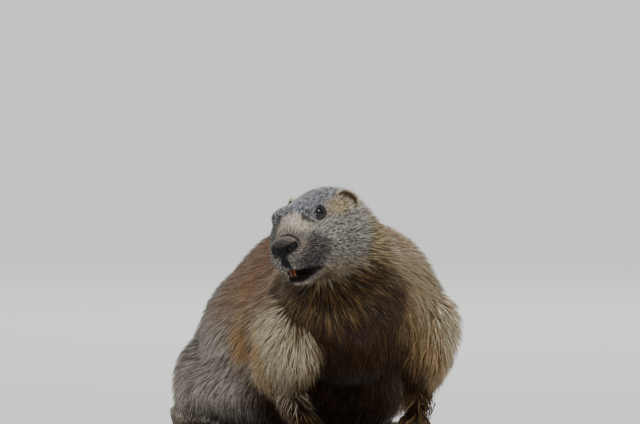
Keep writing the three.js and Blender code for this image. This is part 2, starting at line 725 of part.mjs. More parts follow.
// The open mouth, a wedge across the muzzle that ends at the corners of the lips.
function mouthGap() {
  const { lip, corner, open } = MOUTH;
  const shape = new THREE.Shape();
  shape.moveTo(corner.y, corner.z);
  shape.quadraticCurveTo(-36, lip + 0.5, -62, lip);
  shape.lineTo(-62, lip - open - 3);
  shape.quadraticCurveTo(-36, lip - open + 1, corner.y, corner.z - 0.6);
  shape.closePath();
  const wedge = new THREE.ExtrudeGeometry(shape, { depth: 80, bevelEnabled: false, curveSegments: 4 });
  const across = new THREE.Matrix4().makeBasis(vec(0, 1, 0), vec(0, 0, 1), vec(1, 0, 0));
  return placed(wedge, across.setPosition(-40, 0, 0).premultiply(headFrame));
}

function incisorPair(grow = 0) {
  const { width, length, thickness, root } = INCISOR;
  const teeth = [-1, 1].map((side) => {
    const half = width / 2 + 0.25 + grow;
    const tooth = new THREE.BoxGeometry(half, thickness + 2 * grow, length + 2 * grow);
    const place = new THREE.Matrix4().makeRotationX(rad(-8));
    place.setPosition(side * half * 0.5 * 0.98, root.y, root.z - length / 2);
    return placed(tooth, place.premultiply(headFrame));
  });
  return teeth[0].add(teeth[1]);
}

let head = drawn.head.add(locks).intersect(beyond(HEAD_SEAM.point, HEAD_SEAM.normal));
for (const side of [-1, 1]) {
  const name = side > 0 ? "left" : "right";
  const eye = ball(eyePlace(side), EYE.radius);
  head = head.add(ball(eyePlace(side), EYE.radius + GAP + LID));
  head = head.subtract(ball(eyePlace(side), EYE.radius + GAP)).subtract(lidOpening(side));
  head = head.subtract(earShell(side, GAP));
  addNode(`eye_${name}`, eye, 0x14100e, 0.15);
  addNode(`ear_${name}`, largest(earShell(side).subtract(earCup(side))), coatColours.straw);
}
const nostrils = joinAll([-1, 1].map((side) => headEllipsoid(NOSTRIL.centre, NOSTRIL.radii, side)));
head = head.subtract(drawn.nosePocket.transform(headFrame.toArray()));
addNode("nose", drawn.nose.transform(headFrame.toArray()).subtract(nostrils), 0x1d1a1a, 0.5);
addNode("upper_incisors", incisorPair(), 0xc87f35, 0.4);
head = head.subtract(mouthGap()).subtract(incisorPair(GAP));
addNode("head", largest(head), coatColours.slate);
addNode(
  "neck",
  largest(
    coat
      .subtract(beyond(HEAD_SEAM.point, HEAD_SEAM.normal, GAP))
      .subtract(forelegRegion(-1, GAP))
      .subtract(forelegRegion(1, GAP))
      .intersect(beyond(NECK_SEAM.point, NECK_SEAM.normal)),
  ),
  coatColours.straw,
);
const trunk = coat.subtract(beyond(NECK_SEAM.point, NECK_SEAM.normal, GAP));
const legless = [-1, 1].reduce(
  (body, side) =>
    body
      .subtract(forelegRegion(side, GAP))
      .subtract(hindlegRegion(side, GAP))
      .subtract(forepawRegion(side, GAP))
      .subtract(hindfootRegion(side, GAP)),
  trunk.subtract(beyond(TAIL_SEAM.point, TAIL_SEAM.normal, GAP)),
);
const rear = legless.intersect(beyond(LOIN_SEAM.point, LOIN_SEAM.normal));
const front = legless.subtract(beyond(LOIN_SEAM.point, LOIN_SEAM.normal, GAP));
addNode("torso_rear", largest(rear), coatColours.grey);
addNode("torso_front", largest(front), coatColours.rust);

// Sets a paw's claws into its toes, each a part of its own.
function withClaws(paw, kind, side) {
  const name = side > 0 ? "left" : "right";
  let rest = paw.intersect(floor);
  for (let toe = 0; toe < paws[kind].toes; toe += 1) {
    addNode(`${kind}claw_${name}_${toe + 1}`, clawOf(kind, side, toe).intersect(floor), 0x2a2320, 0.35);
    rest = rest.subtract(clawOf(kind, side, toe, GAP));
  }
  return rest;
}

for (const side of [-1, 1]) {
  const name = side > 0 ? "left" : "right";
  addNode(
    `foreleg_${name}`,
    largest(trunk.intersect(forelegRegion(side)).subtract(forepawRegion(side, GAP))),
    coatColours.brown,
  );
  addNode(
    `hindleg_${name}`,
    largest(trunk.intersect(hindlegRegion(side)).subtract(hindfootRegion(side, GAP))),
    coatColours.grey,
  );
  const pawMarks = [marks(side * 50 - 45, [side * 50 + 45, 6.1]), marks(-70, [-20, 6.5], [30, 11])];
  const paw = toSolid(surfaceOf(footOf("fore", side), ...pawMarks, marks(-6, [45, 7])));
  const forepaw = withClaws(paw.intersect(forepawRegion(side)), "fore", side);
  addNode(`forepaw_${name}`, largest(forepaw), coatColours.dark);
  const footMarks = [marks(side * 88 - 45, [side * 88 + 45, 6.2]), marks(140, [208, 6.8], [310, 16])];
  const foot = toSolid(surfaceOf(footOf("hind", side), ...footMarks, marks(-6, [48, 7])));
  const hindfoot = withClaws(foot.intersect(hindfootRegion(side)), "hind", side);
  addNode(`hindfoot_${name}`, largest(hindfoot), coatColours.dark);
}
const tail = trunk.intersect(beyond(TAIL_SEAM.point, TAIL_SEAM.normal));
addNode(
  "tail_base",
  largest(tail.subtract(beyond(TAIL_TIP_SEAM.point, TAIL_TIP_SEAM.normal, GAP))),
  coatColours.brown,
);
addNode(
  "tail_tip",
  largest(tail.intersect(beyond(TAIL_TIP_SEAM.point, TAIL_TIP_SEAM.normal))),
  coatColours.dark,
);

// The origin is the middle of the footprint, on the floor.
const extent = new THREE.Box3().setFromObject(build);
const middle = extent.getCenter(vec(0, 0, 0));
for (const mesh of build.children) mesh.geometry.translate(-middle.x, -middle.y, -extent.min.z);

export default build;
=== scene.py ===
# %% [markdown]
# # A life-size alpine marmot
# This notebook dresses a still, museum-style marmot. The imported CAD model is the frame: the place of its
# left eye says where every new piece goes. The flesh is drawn again here as one smooth skin, and a coat of
# many thousand small tapered tufts is laid over it. Every length in the cells is in millimetres until a
# mesh is made.

# %% Load the frame
import math
import time
from functools import partial

import bpy
import numpy as np
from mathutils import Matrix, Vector


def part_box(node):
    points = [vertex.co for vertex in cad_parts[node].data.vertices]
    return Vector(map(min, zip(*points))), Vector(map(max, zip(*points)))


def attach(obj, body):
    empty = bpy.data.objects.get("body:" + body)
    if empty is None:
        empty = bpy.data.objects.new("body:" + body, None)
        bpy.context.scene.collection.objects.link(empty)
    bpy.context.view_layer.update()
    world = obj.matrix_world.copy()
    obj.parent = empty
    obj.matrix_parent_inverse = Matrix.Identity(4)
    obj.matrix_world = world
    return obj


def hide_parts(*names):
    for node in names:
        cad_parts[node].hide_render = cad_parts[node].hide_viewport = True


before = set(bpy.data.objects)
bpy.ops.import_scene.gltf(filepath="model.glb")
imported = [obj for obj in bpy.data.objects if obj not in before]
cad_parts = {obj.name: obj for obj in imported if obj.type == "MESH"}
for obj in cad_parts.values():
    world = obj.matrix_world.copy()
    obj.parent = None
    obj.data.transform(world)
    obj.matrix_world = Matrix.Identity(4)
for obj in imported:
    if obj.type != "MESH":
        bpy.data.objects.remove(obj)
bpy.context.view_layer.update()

started = time.time()


def clock():
    """The time since the start, for the prints."""
    return f"{time.time() - started:.1f} s"


print("CAD nodes:", len(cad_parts))

# %% [markdown]
# ## Named sizes
# The same few sizes that drive the CAD model drive the skin, so both have one outline. The head has a frame
# of its own: x to the marmot's left, -y to the nose, z up, with the origin on the midline under the brow.

# %% Named sizes
MM = 0.001
BACK_HEIGHT = 218.0
BODY_LENGTH = 340.0
BELLY_HALF_WIDTH = 116.0
HEAD_TURN = 46.0
HEAD_NOD = 9.0
HEAD_ROLL = 10.0
TAIL_LENGTH = 175.0
FOREPAW_LENGTH = 54.0
HINDFOOT_LENGTH = 84.0
COAT_DEPTH = 17.0
FACE_COAT = 3.0
FOOT_COAT = 2.0
HEAD_CENTRE = np.array([-78.4, -81.9, 209.4])
EYE_CENTRE = np.array([19.2, -10.2, 13.8])
EYE_RADIUS = 6.3
EAR_CENTRE = np.array([29.5, 30.0, 15.0])
SOLE = 0.9
SIDES = {"left": 1.0, "right": -1.0}


def turn_about(axis, degrees):
    """A turn about one axis, as a matrix: cosine and sine of the angle in the plane across it."""
    c, s = math.cos(math.radians(degrees)), math.sin(math.radians(degrees))
    turns = {
        "x": [[1, 0, 0], [0, c, -s], [0, s, c]],
        "y": [[c, 0, s], [0, 1, 0], [-s, 0, c]],
        "z": [[c, -s, 0], [s, c, 0], [0, 0, 1]],
    }
    return np.array(turns[axis], float)


HEAD_AXES = turn_about("z", -HEAD_TURN) @ turn_about("x", HEAD_NOD) @ turn_about("y", -HEAD_ROLL)


def on_head(points):
    """From the head's frame to the marmot's: turn, then move to the head's place."""
    return np.asarray(points, float) @ HEAD_AXES.T + HEAD_CENTRE


def into_head(points):
    """From the marmot's frame to the head's, the other way round."""
    return (points - HEAD_CENTRE) @ HEAD_AXES


eye_low, eye_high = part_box("eye_left")
eye_in_frame = np.array((eye_low + eye_high) / 2) / MM
ORIGIN = eye_in_frame - on_head(EYE_CENTRE)
print("the marmot's own origin in the frame, mm:", ORIGIN.round(2))

# %% [markdown]
# ## Flesh as a blend of rounded forms
# A body is made of soft masses that run into each other. It could be sculpted, but a formula is easier to
# measure and to change: each mass is a function from points to their distance from its surface, and a
# smooth minimum joins two masses with a fillet, as muscle and fat do.

# %% Rounded forms and their blend


def smooth(x, low, high):
    """0 below low, 1 above high, and the cubic 3t^2 - 2t^3 between them."""
    t = np.clip((x - low) / (high - low), 0, 1)
    return t * t * (3 - 2 * t)


def mix(a, b, share):
    """a where share is 0 and b where it is 1."""
    return a + (b - a) * share


def length_of(vectors):
    """The length of each vector in the last axis."""
    return np.sqrt(np.einsum("...i,...i->...", vectors, vectors))


def unit(vectors):
    """Each vector divided by its length."""
    return vectors / np.maximum(length_of(vectors), 1e-9)[..., None]


def blob(centre, radii):
    """An ellipsoid: with near as the distance in radii, near (near - 1) / slope is the distance from it."""
    centre, radii = np.array(centre, float), np.array(radii, float)

    def distance(p):
        offset = (p - centre) / radii
        near = length_of(offset)
        return near * (near - 1) / np.maximum(length_of(offset / radii), 1e-6)

    return distance


def limb(start, start_radius, end, end_radius):
    """A rounded cone: the distance from a line, less a radius that runs from one end's to the other's."""
    start, end = np.array(start, float), np.array(end, float)
    along = end - start

    def distance(p):
        offset = p - start
        share = np.clip(offset @ along / (along @ along), 0, 1)
        return length_of(offset - share[..., None] * along) - mix(start_radius, end_radius, share)

    return distance


def blend_two(a, b, width):
    """The smaller distance, lowered by a quarter of width times the square of how nearly the two agree."""
    share = np.maximum(width - np.abs(a - b), 0) / width
    return np.minimum(a, b) - share * share * width * 0.25


def blend(width, forms):
    """Several forms run into one, in their order."""

    def distance(p):
        total = forms[0](p)
        for form in forms[1:]:
            total = blend_two(total, form(p), width)
        return total

    return distance


def chain(width, joints):
    """Limbs from joint to joint, each a point and a radius."""
    return blend(width, [limb(*a, *b) for a, b in zip(joints, joints[1:])])


def fold_over(p):
    """The same places on the left half of the head."""
    return np.concatenate([np.abs(p[..., :1]), p[..., 1:]], -1)


def both_sides(form):
    """The same form on both sides of the head's midline."""
    return lambda p: form(fold_over(p))


# %% Head, neck and trunk
skull = both_sides(
    blend(
        12,
        [
            blob((0, 20, 3), (33, 42, 25)),
            blob((22, 12, -14), (21, 31, 28)),
            limb((0, -5, 5), 20, (0, -40, -10), 12),
            limb((8, -10, -13), 20, (6.5, -38, -16.5), 12.2),
        ],
    )
)
brows = both_sides(blob((14.5, -7, 17.5), (9, 15, 5.5)))
lower_jaw = both_sides(limb((7, 15, -25), 17, (3.5, -30, -36), 8))
orbits = both_sides(blob(EYE_CENTRE - (1.0, -0.5, 0.5), (7.8, 9.6, 8.2)))
head_form = blend(7, [skull, brows, lower_jaw, orbits])
NAPE = on_head((0, 44, -12))
neck_form = blend(30, [limb(NAPE, 40, (0, 26, 142), 68), blob((-26, -36, 156), (54, 44, 50))])
trunk_form = blend(
    30,
    [
        blob((0, 0.08 * BODY_LENGTH, 0.65 * BACK_HEIGHT), (76, 72, 70)),
        blob((0, 0.4 * BODY_LENGTH, 0.6 * BACK_HEIGHT), (66, 135, 78)),
        blob((0, 0.46 * BODY_LENGTH, 0.46 * BACK_HEIGHT), (0.84 * BELLY_HALF_WIDTH, 132, 78)),
        blob((0, 0.54 * BODY_LENGTH, 58), (0.93 * BELLY_HALF_WIDTH, 135, 52)),
        blob((0, 0.77 * BODY_LENGTH, 90), (72, 74, 80)),
    ],
)

# %% Legs, paws and tail
WRIST_HEIGHT = 22.0
ANKLE_HEIGHT = 24.0
TOE_RADIUS = 5.6
PAWS = {
    "fore": dict(toes=4, palm=(17, 22, 12), spread=9.4, fan=7, reach=FOREPAW_LENGTH, toe_length=20, claw=13),
    "hind": dict(toes=5, palm=(18, 38, 13), spread=8.6, fan=5, reach=HINDFOOT_LENGTH, toe_length=22, claw=11),
}


def leg_joints(kind, side):
    """The three joints of a leg, mirrored by side."""
    if kind == "fore":
        joints = [(60, 14, 118), (70, 36, 84), (50, 2, WRIST_HEIGHT)]
    else:
        joints = [(46, 260, 84), (78, 214, 52), (82, 262, ANKLE_HEIGHT)]
    return np.array(joints, float) * (side, 1, 1)


def leg_form(kind, side):
    """A leg: a soft mass at the shoulder or thigh, and two limbs down to the wrist or ankle."""
    top, middle, end = leg_joints(kind, side)
    if kind == "fore":
        mass = blob((top[0], top[1], 112), (37, 45, 52))
        return blend(16, [mass, limb(top, 30, middle, 25), limb(middle, 24, end, 15)])
    centre = (top + middle) / 2
    mass = blob((centre[0], centre[1], 50), (40, 70, 52))
    return blend(20, [mass, limb(top, 36, middle, 28), limb(middle, 24, end, 17)])


def paw_place(kind, side):
    """Where the heel stands, and how many degrees the paw turns out."""
    end = leg_joints(kind, side)[2]
    return (end + (0, 8, 0), 4 * side) if kind == "fore" else (end + (0, 10, 0), 7 * side)


def pointing(degrees):
    """The level direction that many degrees from straight ahead."""
    return np.array([math.sin(math.radians(degrees)), -math.cos(math.radians(degrees)), 0.0])


def toe_line(kind, side, toe):
    """The root, knuckle and tip of a toe, and the way it points: toes fan out, outer ones are shorter."""
    paw = PAWS[kind]
    heel, turn = paw_place(kind, side)
    place = side * (toe - (paw["toes"] - 1) / 2)
    ahead = pointing(turn + paw["fan"] * place)
    length = paw["toe_length"] * (1 - 0.055 * place * place)
    root = heel + pointing(turn) * (paw["reach"] - paw["toe_length"] - 2.2 * place * place)
    root = root + pointing(turn + 90) * paw["spread"] * place
    root[2] = 10
    knuckle = root + ahead * 0.45 * length
    knuckle[2] = 9.5
    tip = root + ahead * length
    tip[2] = 5
    return root, knuckle, tip, ahead


def paw_form(kind, side):
    """A flat palm with a fan of toes."""
    paw = PAWS[kind]
    heel, turn = paw_place(kind, side)
    centre = heel + pointing(turn) * 0.4 * paw["reach"]
    forms = [
        blob((centre[0], centre[1], 9), paw["palm"]),
        limb((heel[0], heel[1], 12), 12, (centre[0], centre[1], 10), 11),
    ]
    for toe in range(paw["toes"]):
        root, knuckle, tip, _ = toe_line(kind, side, toe)
        forms.append(chain(2, [(root, TOE_RADIUS + 1), (knuckle, TOE_RADIUS), (tip, TOE_RADIUS - 0.6)]))
    return blend(3, forms)


TAIL_ROOT = np.array([-1.0, 0.93 * BODY_LENGTH, 60.0])
TAIL_JOINTS = [
    (TAIL_ROOT, 30),
    (np.array([2, TAIL_ROOT[1] + 0.24 * TAIL_LENGTH, 36.0]), 29),
    (np.array([9, TAIL_ROOT[1] + 0.52 * TAIL_LENGTH, 28.0]), 28),
    (np.array([19, TAIL_ROOT[1] + 0.78 * TAIL_LENGTH, 23.0]), 23),
    (np.array([26, TAIL_ROOT[1] + 0.93 * TAIL_LENGTH, 17.0]), 15),
]
tail_form = chain(8, TAIL_JOINTS)
LEGS = [(kind, side) for side in (-1, 1) for kind in ("fore", "hind")]
leg_forms = [leg_form(*leg) for leg in LEGS]
paw_forms = [paw_form(*leg) for leg in LEGS]
PAW_HEIGHT = 52.0

# %% The whole outline, out to the tips of the coat


def outline(p):
    """The trunk, neck, legs, tail, head and paws, each run into the rest over its own width."""
    body = blend_two(trunk_form(p), neck_form(p), 30)
    for leg in leg_forms:
        body = blend_two(body, leg(p), 14)
    body = blend_two(body, tail_form(p), 16)
    body = blend_two(body, head_form(into_head(p)), 16)
    low = p[..., 2] < PAW_HEIGHT
    if low.any():
        near_floor = body[low]
        for paw in paw_forms:
            near_floor = blend_two(near_floor, paw(p[low]), 6)
        body[low] = near_floor
    return body


NOSE_TIP = on_head((0, -54, -8))
MUZZLE = np.array([0.0, -50.0, -20.0])
SHANK_RADIUS = 20
FOOT_RADIUS = 16
shank_ends = [leg_joints(*leg)[1:] for leg in LEGS]
shanks = [limb(start, SHANK_RADIUS, end, SHANK_RADIUS) for start, end in shank_ends]
feet = [limb(paw_place(*leg)[0], FOOT_RADIUS, toe_line(*leg, 2)[1], FOOT_RADIUS) for leg in LEGS]


def near_leg(p):
    """1 on the shanks and feet and 0 away from them."""
    return 1 - smooth(np.min([line(p) for line in shanks + feet], 0), 4, 30)


def coat_depth(p):
    """Skin to hair tips: deep on the body, a few millimetres on face and feet, thin at nose and soles."""
    head = into_head(p)
    behind_face = smooth(head[..., 1] - 0.3 * head[..., 2], -12, 44)
    near_head = 1 - smooth(length_of(head), 62, 88)
    foot = FOOT_COAT * smooth(p[..., 2], -1, 5)
    lower = near_leg(p) * (1 - smooth(p[..., 2], 16, 54))
    body = mix(COAT_DEPTH, foot, lower)
    face = mix(FACE_COAT, COAT_DEPTH, behind_face)
    face = face * mix(0.4, 1, smooth(length_of(head - MUZZLE), 14, 34))
    to_eye = length_of(fold_over(head) - EYE_CENTRE)
    face = face * mix(0.3, 1, smooth(to_eye, 7, 14))
    return mix(body, face, near_head)


EYE_AXIS = unit(np.array([0.86, -0.42, 0.28]))
EYE_SLANT = 38.0
LID_LENGTH = 10.8
LID_HEIGHT = 8.6


def eye_axes(side):
    """The eye's own axes: along the slit, across it, and out of the head."""
    out = EYE_AXIS * (side, 1, 1)
    back = np.array([0, math.cos(math.radians(EYE_SLANT)), math.sin(math.radians(EYE_SLANT))])
    along = unit(back - out * (back @ out))
    return np.stack([along, np.cross(out, along), out])


def beside_eye(head):
    """Places in the eye's own axes, the same for both eyes."""
    return (fold_over(head) - EYE_CENTRE) @ eye_axes(1).T


socket = blob((0, 0, EYE_RADIUS + 1), (LID_LENGTH / 2 + 0.3, LID_HEIGHT / 2 + 0.3, EYE_RADIUS + 1))

MOUTH_CORNER = -24.0
MOUTH_LINE = -30.0
MOUTH_OPEN = 9.0


def mouth(p):
    """The open mouth, in the head's frame: a slot along a sloping line that widens towards the lips."""
    forward = np.clip((MOUTH_CORNER - p[..., 1]) / 16, -1, 1.2)
    middle = MOUTH_LINE - 0.42 * MOUTH_OPEN * np.maximum(forward, 0)
    half = 0.46 * MOUTH_OPEN * forward - 0.4
    return np.abs(p[..., 2] - middle) - half


def skin(p):
    """The outline less the coat's depth, with mouth and sockets cut in, and soles level over the floor."""
    field = outline(p) + coat_depth(p)
    head = into_head(p)
    near = length_of(head - (0, -40, -33)) < 34
    if near.any():
        field[near] = -blend_two(-field[near], mouth(head[near]), 1.6)
    in_eye = beside_eye(head)
    near = length_of(in_eye) < 22
    if near.any():
        field[near] = -blend_two(-field[near], socket(in_eye[near]), 0.8)
    return np.maximum(field, SOLE - p[..., 2])


def field_and_slope(field, p, step=0.5):
    """The field and its slope from the corners of a small tetrahedron round each point."""
    corners = np.array([(1, 1, 1), (1, -1, -1), (-1, 1, -1), (-1, -1, 1)], float)
    values = [field(p + step * corner) for corner in corners]
    slope = sum(value[..., None] * corner for value, corner in zip(values, corners)) / (4 * step)
    return sum(values) / 4, slope


def settle(field, p, wanted=0.0, rounds=1):
    """Moves points along the field's slope until the field has the wanted value there."""
    for _ in range(rounds):
        value, slope = field_and_slope(field, p)
        size = np.maximum(np.einsum("...i,...i->...", slope, slope), 0.05)
        p = p + slope * ((wanted - value) / size)[..., None]
    return p


samples = on_head([(0, -50, -8), (0, -5, 25), (0, 60, 0)])
print("coat depth on nose, brow and nape:", coat_depth(samples).round(1))

# %% [markdown]
# ## One skin
# Legs branch off the trunk, so the skin isn't one patch in two parameters. It is read off a grid of cells
# instead: each cell that the surface crosses gets one point, and each grid edge that it crosses gets a
# four-sided face. Where the head and toes need more detail, edges are halved and the new points settle on
# the surface, so the mesh stays one closed body with no seam.

# %% A closed surface from a grid of cells


def surface_net(field, low, high, step):
    """One point per crossed cell, at the mean of its edge crossings, and one quad per crossed grid edge."""
    axes = [np.arange(a, b + step, step) for a, b in zip(low, high)]
    grid = np.stack(np.meshgrid(*axes, indexing="ij"), -1)
    values = np.concatenate([field(slab)[None] for slab in grid])
    for axis in range(3):
        edge = np.moveaxis(values, axis, 0)
        edge[0] = edge[-1] = 4.0
    inside = values < 0
    corner_steps = [(i, j, k) for i in (0, 1) for j in (0, 1) for k in (0, 1)]
    size = np.array(values.shape) - 1
    parts = [inside[i : i + size[0], j : j + size[1], k : k + size[2]] for i, j, k in corner_steps]
    count = sum(part.astype(np.int8) for part in parts)
    active = (count > 0) & (count < 8)
    cells = np.argwhere(active)
    number = np.full(size, -1)
    number[active] = np.arange(len(cells))
    total, crossings = np.zeros((len(cells), 3)), np.zeros(len(cells))
    for corner in corner_steps:
        for axis in range(3):
            if corner[axis]:
                continue
            step_on = np.eye(3, dtype=int)[axis]
            a = values[tuple((cells + corner).T)]
            b = values[tuple((cells + corner + step_on).T)]
            crossed = (a < 0) != (b < 0)
            share = np.where(crossed, a / np.where(crossed, a - b, 1), 0)
            total += crossed[:, None] * (np.array(corner) + share[:, None] * step_on)
            crossings += crossed
    points = np.array(low, float) + (cells + total / crossings[:, None]) * step
    quads = []
    for axis in range(3):
        b, c = np.eye(3, dtype=int)[(axis + 1) % 3], np.eye(3, dtype=int)[(axis + 2) % 3]
        start, end = [np.moveaxis(inside, axis, 0)[part] for part in (slice(0, -1), slice(1, None))]
        edges = np.argwhere(np.moveaxis(start != end, 0, axis))
        leaves = inside[tuple(edges.T)]
        ring = [number[tuple((edges - back).T)] for back in (0 * b, b, b + c, c)]
        ring = np.stack(ring, -1)
        quads.append(np.where(leaves[:, None], ring, ring[:, ::-1]))
    quads = np.concatenate(quads)
    return points, np.concatenate([quads[:, [0, 1, 2]], quads[:, [0, 2, 3]]])


def halve_edges(points, faces, chosen):
    """Splits the edges whose ends are both chosen: three of them make four faces of one, one makes two."""
    pairs = np.sort(np.stack([faces, np.roll(faces, -1, 1)], -1), -1)
    split = chosen[pairs].all(-1)
    keys, where = np.unique(pairs[split], axis=0, return_inverse=True)
    middle = np.full(faces.shape, -1)
    middle[split] = len(points) + where.ravel()
    points = np.concatenate([points, points[keys].mean(1)])
    kept = faces[~split.any(1)]
    three, one = split.all(1), split.sum(1) == 1
    f, m = faces[three], middle[three]
    corners = [np.stack([f[:, i], m[:, i], m[:, i - 1]], -1) for i in range(3)]
    turn = split[one].argmax(1)
    rows = np.arange(len(turn))
    a, b, c = [faces[one][rows, (turn + i) % 3] for i in range(3)]
    cut = middle[one][rows, turn]
    halves = [np.stack([a, cut, c], -1), np.stack([cut, b, c], -1)]
    return points, np.concatenate([kept, m, *corners, *halves])


# %% Draw the skin
SKIN_STEP = 3.6
FINER_NEAR_HEAD = (92, 74)
LOW = (-136.0, -170.0, -SKIN_STEP / 2)
HIGH = (136.0, 520.0, 262.0)
skin_points, skin_faces = surface_net(skin, LOW, HIGH, SKIN_STEP)
skin_points = settle(skin, skin_points, rounds=2)
for reach in FINER_NEAR_HEAD:
    head_distance = length_of(into_head(skin_points) - (0, -8, -6))
    on_paw = (skin_points[:, 2] < 30) & (np.minimum(*[form(skin_points) for form in paw_forms[:2]]) < 4)
    skin_points, skin_faces = halve_edges(skin_points, skin_faces, (head_distance < reach) | on_paw)
    skin_points = settle(skin, skin_points)
print("skin:", len(skin_points), "points,", len(skin_faces), "triangles,", clock())

# %% [markdown]
# ## Colours of the coat
# A marmot's hair is dark at the root, pale below the tip, and black at some tips, and each region has its
# own mix of these: slate on the crown, a pale band over the muzzle, grizzled cheeks, a straw ruff, rust on
# the nape, gold behind the shoulder, salt and pepper on the flanks. One function of place gives the colours
# of both the skin and the hair, so the two always agree. They are painted from names and masks, in the way
# a taxidermist airbrushes a mount.

# %% Palette and markings


def paint(code):
    """A web colour as linear red, green and blue: ((c + 0.055) / 1.055) ^ 2.4 above the dark end."""
    channels = np.array([int(code[i : i + 2], 16) for i in (0, 2, 4)]) / 255
    return np.where(channels < 0.04045, channels / 12.92, ((channels + 0.055) / 1.055) ** 2.4)


# Each region: root, middle and pale tip colours, then the share of pale tips and of dark hairs.
REGIONS = {
    "flank": ("352c28", "8e8074", "e2d9cb", 0.46, 0.19),
    "back": ("54392a", "a57d64", "dcbc9f", 0.42, 0.12),
    "belly": ("3c2817", "855f36", "bd9358", 0.35, 0.12),
    "gold": ("7a5028", "c48f4e", "ecc88c", 0.50, 0.03),
    "straw": ("4a3820", "b79c70", "f0e3c2", 0.52, 0.12),
    "cream": ("6a583f", "c3b291", "f2e9cf", 0.60, 0.06),
    # The chest colours: dark brown hair, made darker still with painted shade under the chin.
    "chest_in_painted_shade": ("150c06", "3f2815", "7c5a30", 0.24, 0.30),
    # The throat colours: dark brown hair, darkened with painted shade under the chin.
    "throat": ("160d06", "3d2813", "74552c", 0.24, 0.30),
    "leg": ("241910", "5d4529", "a08255", 0.28, 0.26),
    "crown": ("1f1f22", "4e4d52", "c5c4c7", 0.34, 0.28),
    "face": ("2c2a2a", "6b655e", "cdc6b6", 0.42, 0.22),
    "buff": ("453828", "8d7653", "d8c494", 0.45, 0.14),
    "band": ("6f675e", "a79b8b", "ddd2c0", 0.60, 0.05),
    "velvet": ("463d38", "786c63", "a89b8c", 0.40, 0.12),
    "whisker": ("1c1b1c", "454142", "a39d96", 0.22, 0.35),
    "ear": ("5a4c38", "b9a784", "f0e7c8", 0.62, 0.04),
    "lid": ("060505", "0d0b0a", "1a1614", 0.20, 0.30),
    "foot": ("3a3026", "7c6a52", "b3a07c", 0.36, 0.16),
    "tail": ("2a1f18", "5d4936", "8d7355", 0.30, 0.25),
    "tail_end": ("120e0c", "231b17", "3a2e27", 0.15, 0.30),
    # The mouth colours: dark lips, and painted shade inside the open mouth.
    "mouth": ("120706", "1d0b09", "2a100d", 0.2, 0.2),
}
PALETTE = {name: [paint(code) for code in row[:3]] + [row[3], row[4]] for name, row in REGIONS.items()}


def near_path(p, path):
    """The distance from each point to the nearest of the straight lines between a path's points."""
    path = np.array(path, float)
    distances = []
    for start, end in zip(path, path[1:]):
        along = end - start
        share = np.clip((p - start) @ along / (along @ along), 0, 1)
        distances.append(length_of(p - start - share[..., None] * along))
    return np.min(distances, 0)


def ripple(p, size, turn=0.0):
    """A soft pattern from -1 to 1, with waves about size long: three crossed sines of the point's place."""
    x, y, z = np.moveaxis(p, -1, 0) * (2 * math.pi / size)
    first = np.sin(x + 1.7 * np.sin(0.6 * y + turn))
    second = np.sin(y + 1.3 * np.sin(0.7 * z))
    return (first + second + np.sin(z + turn + x)) / 3


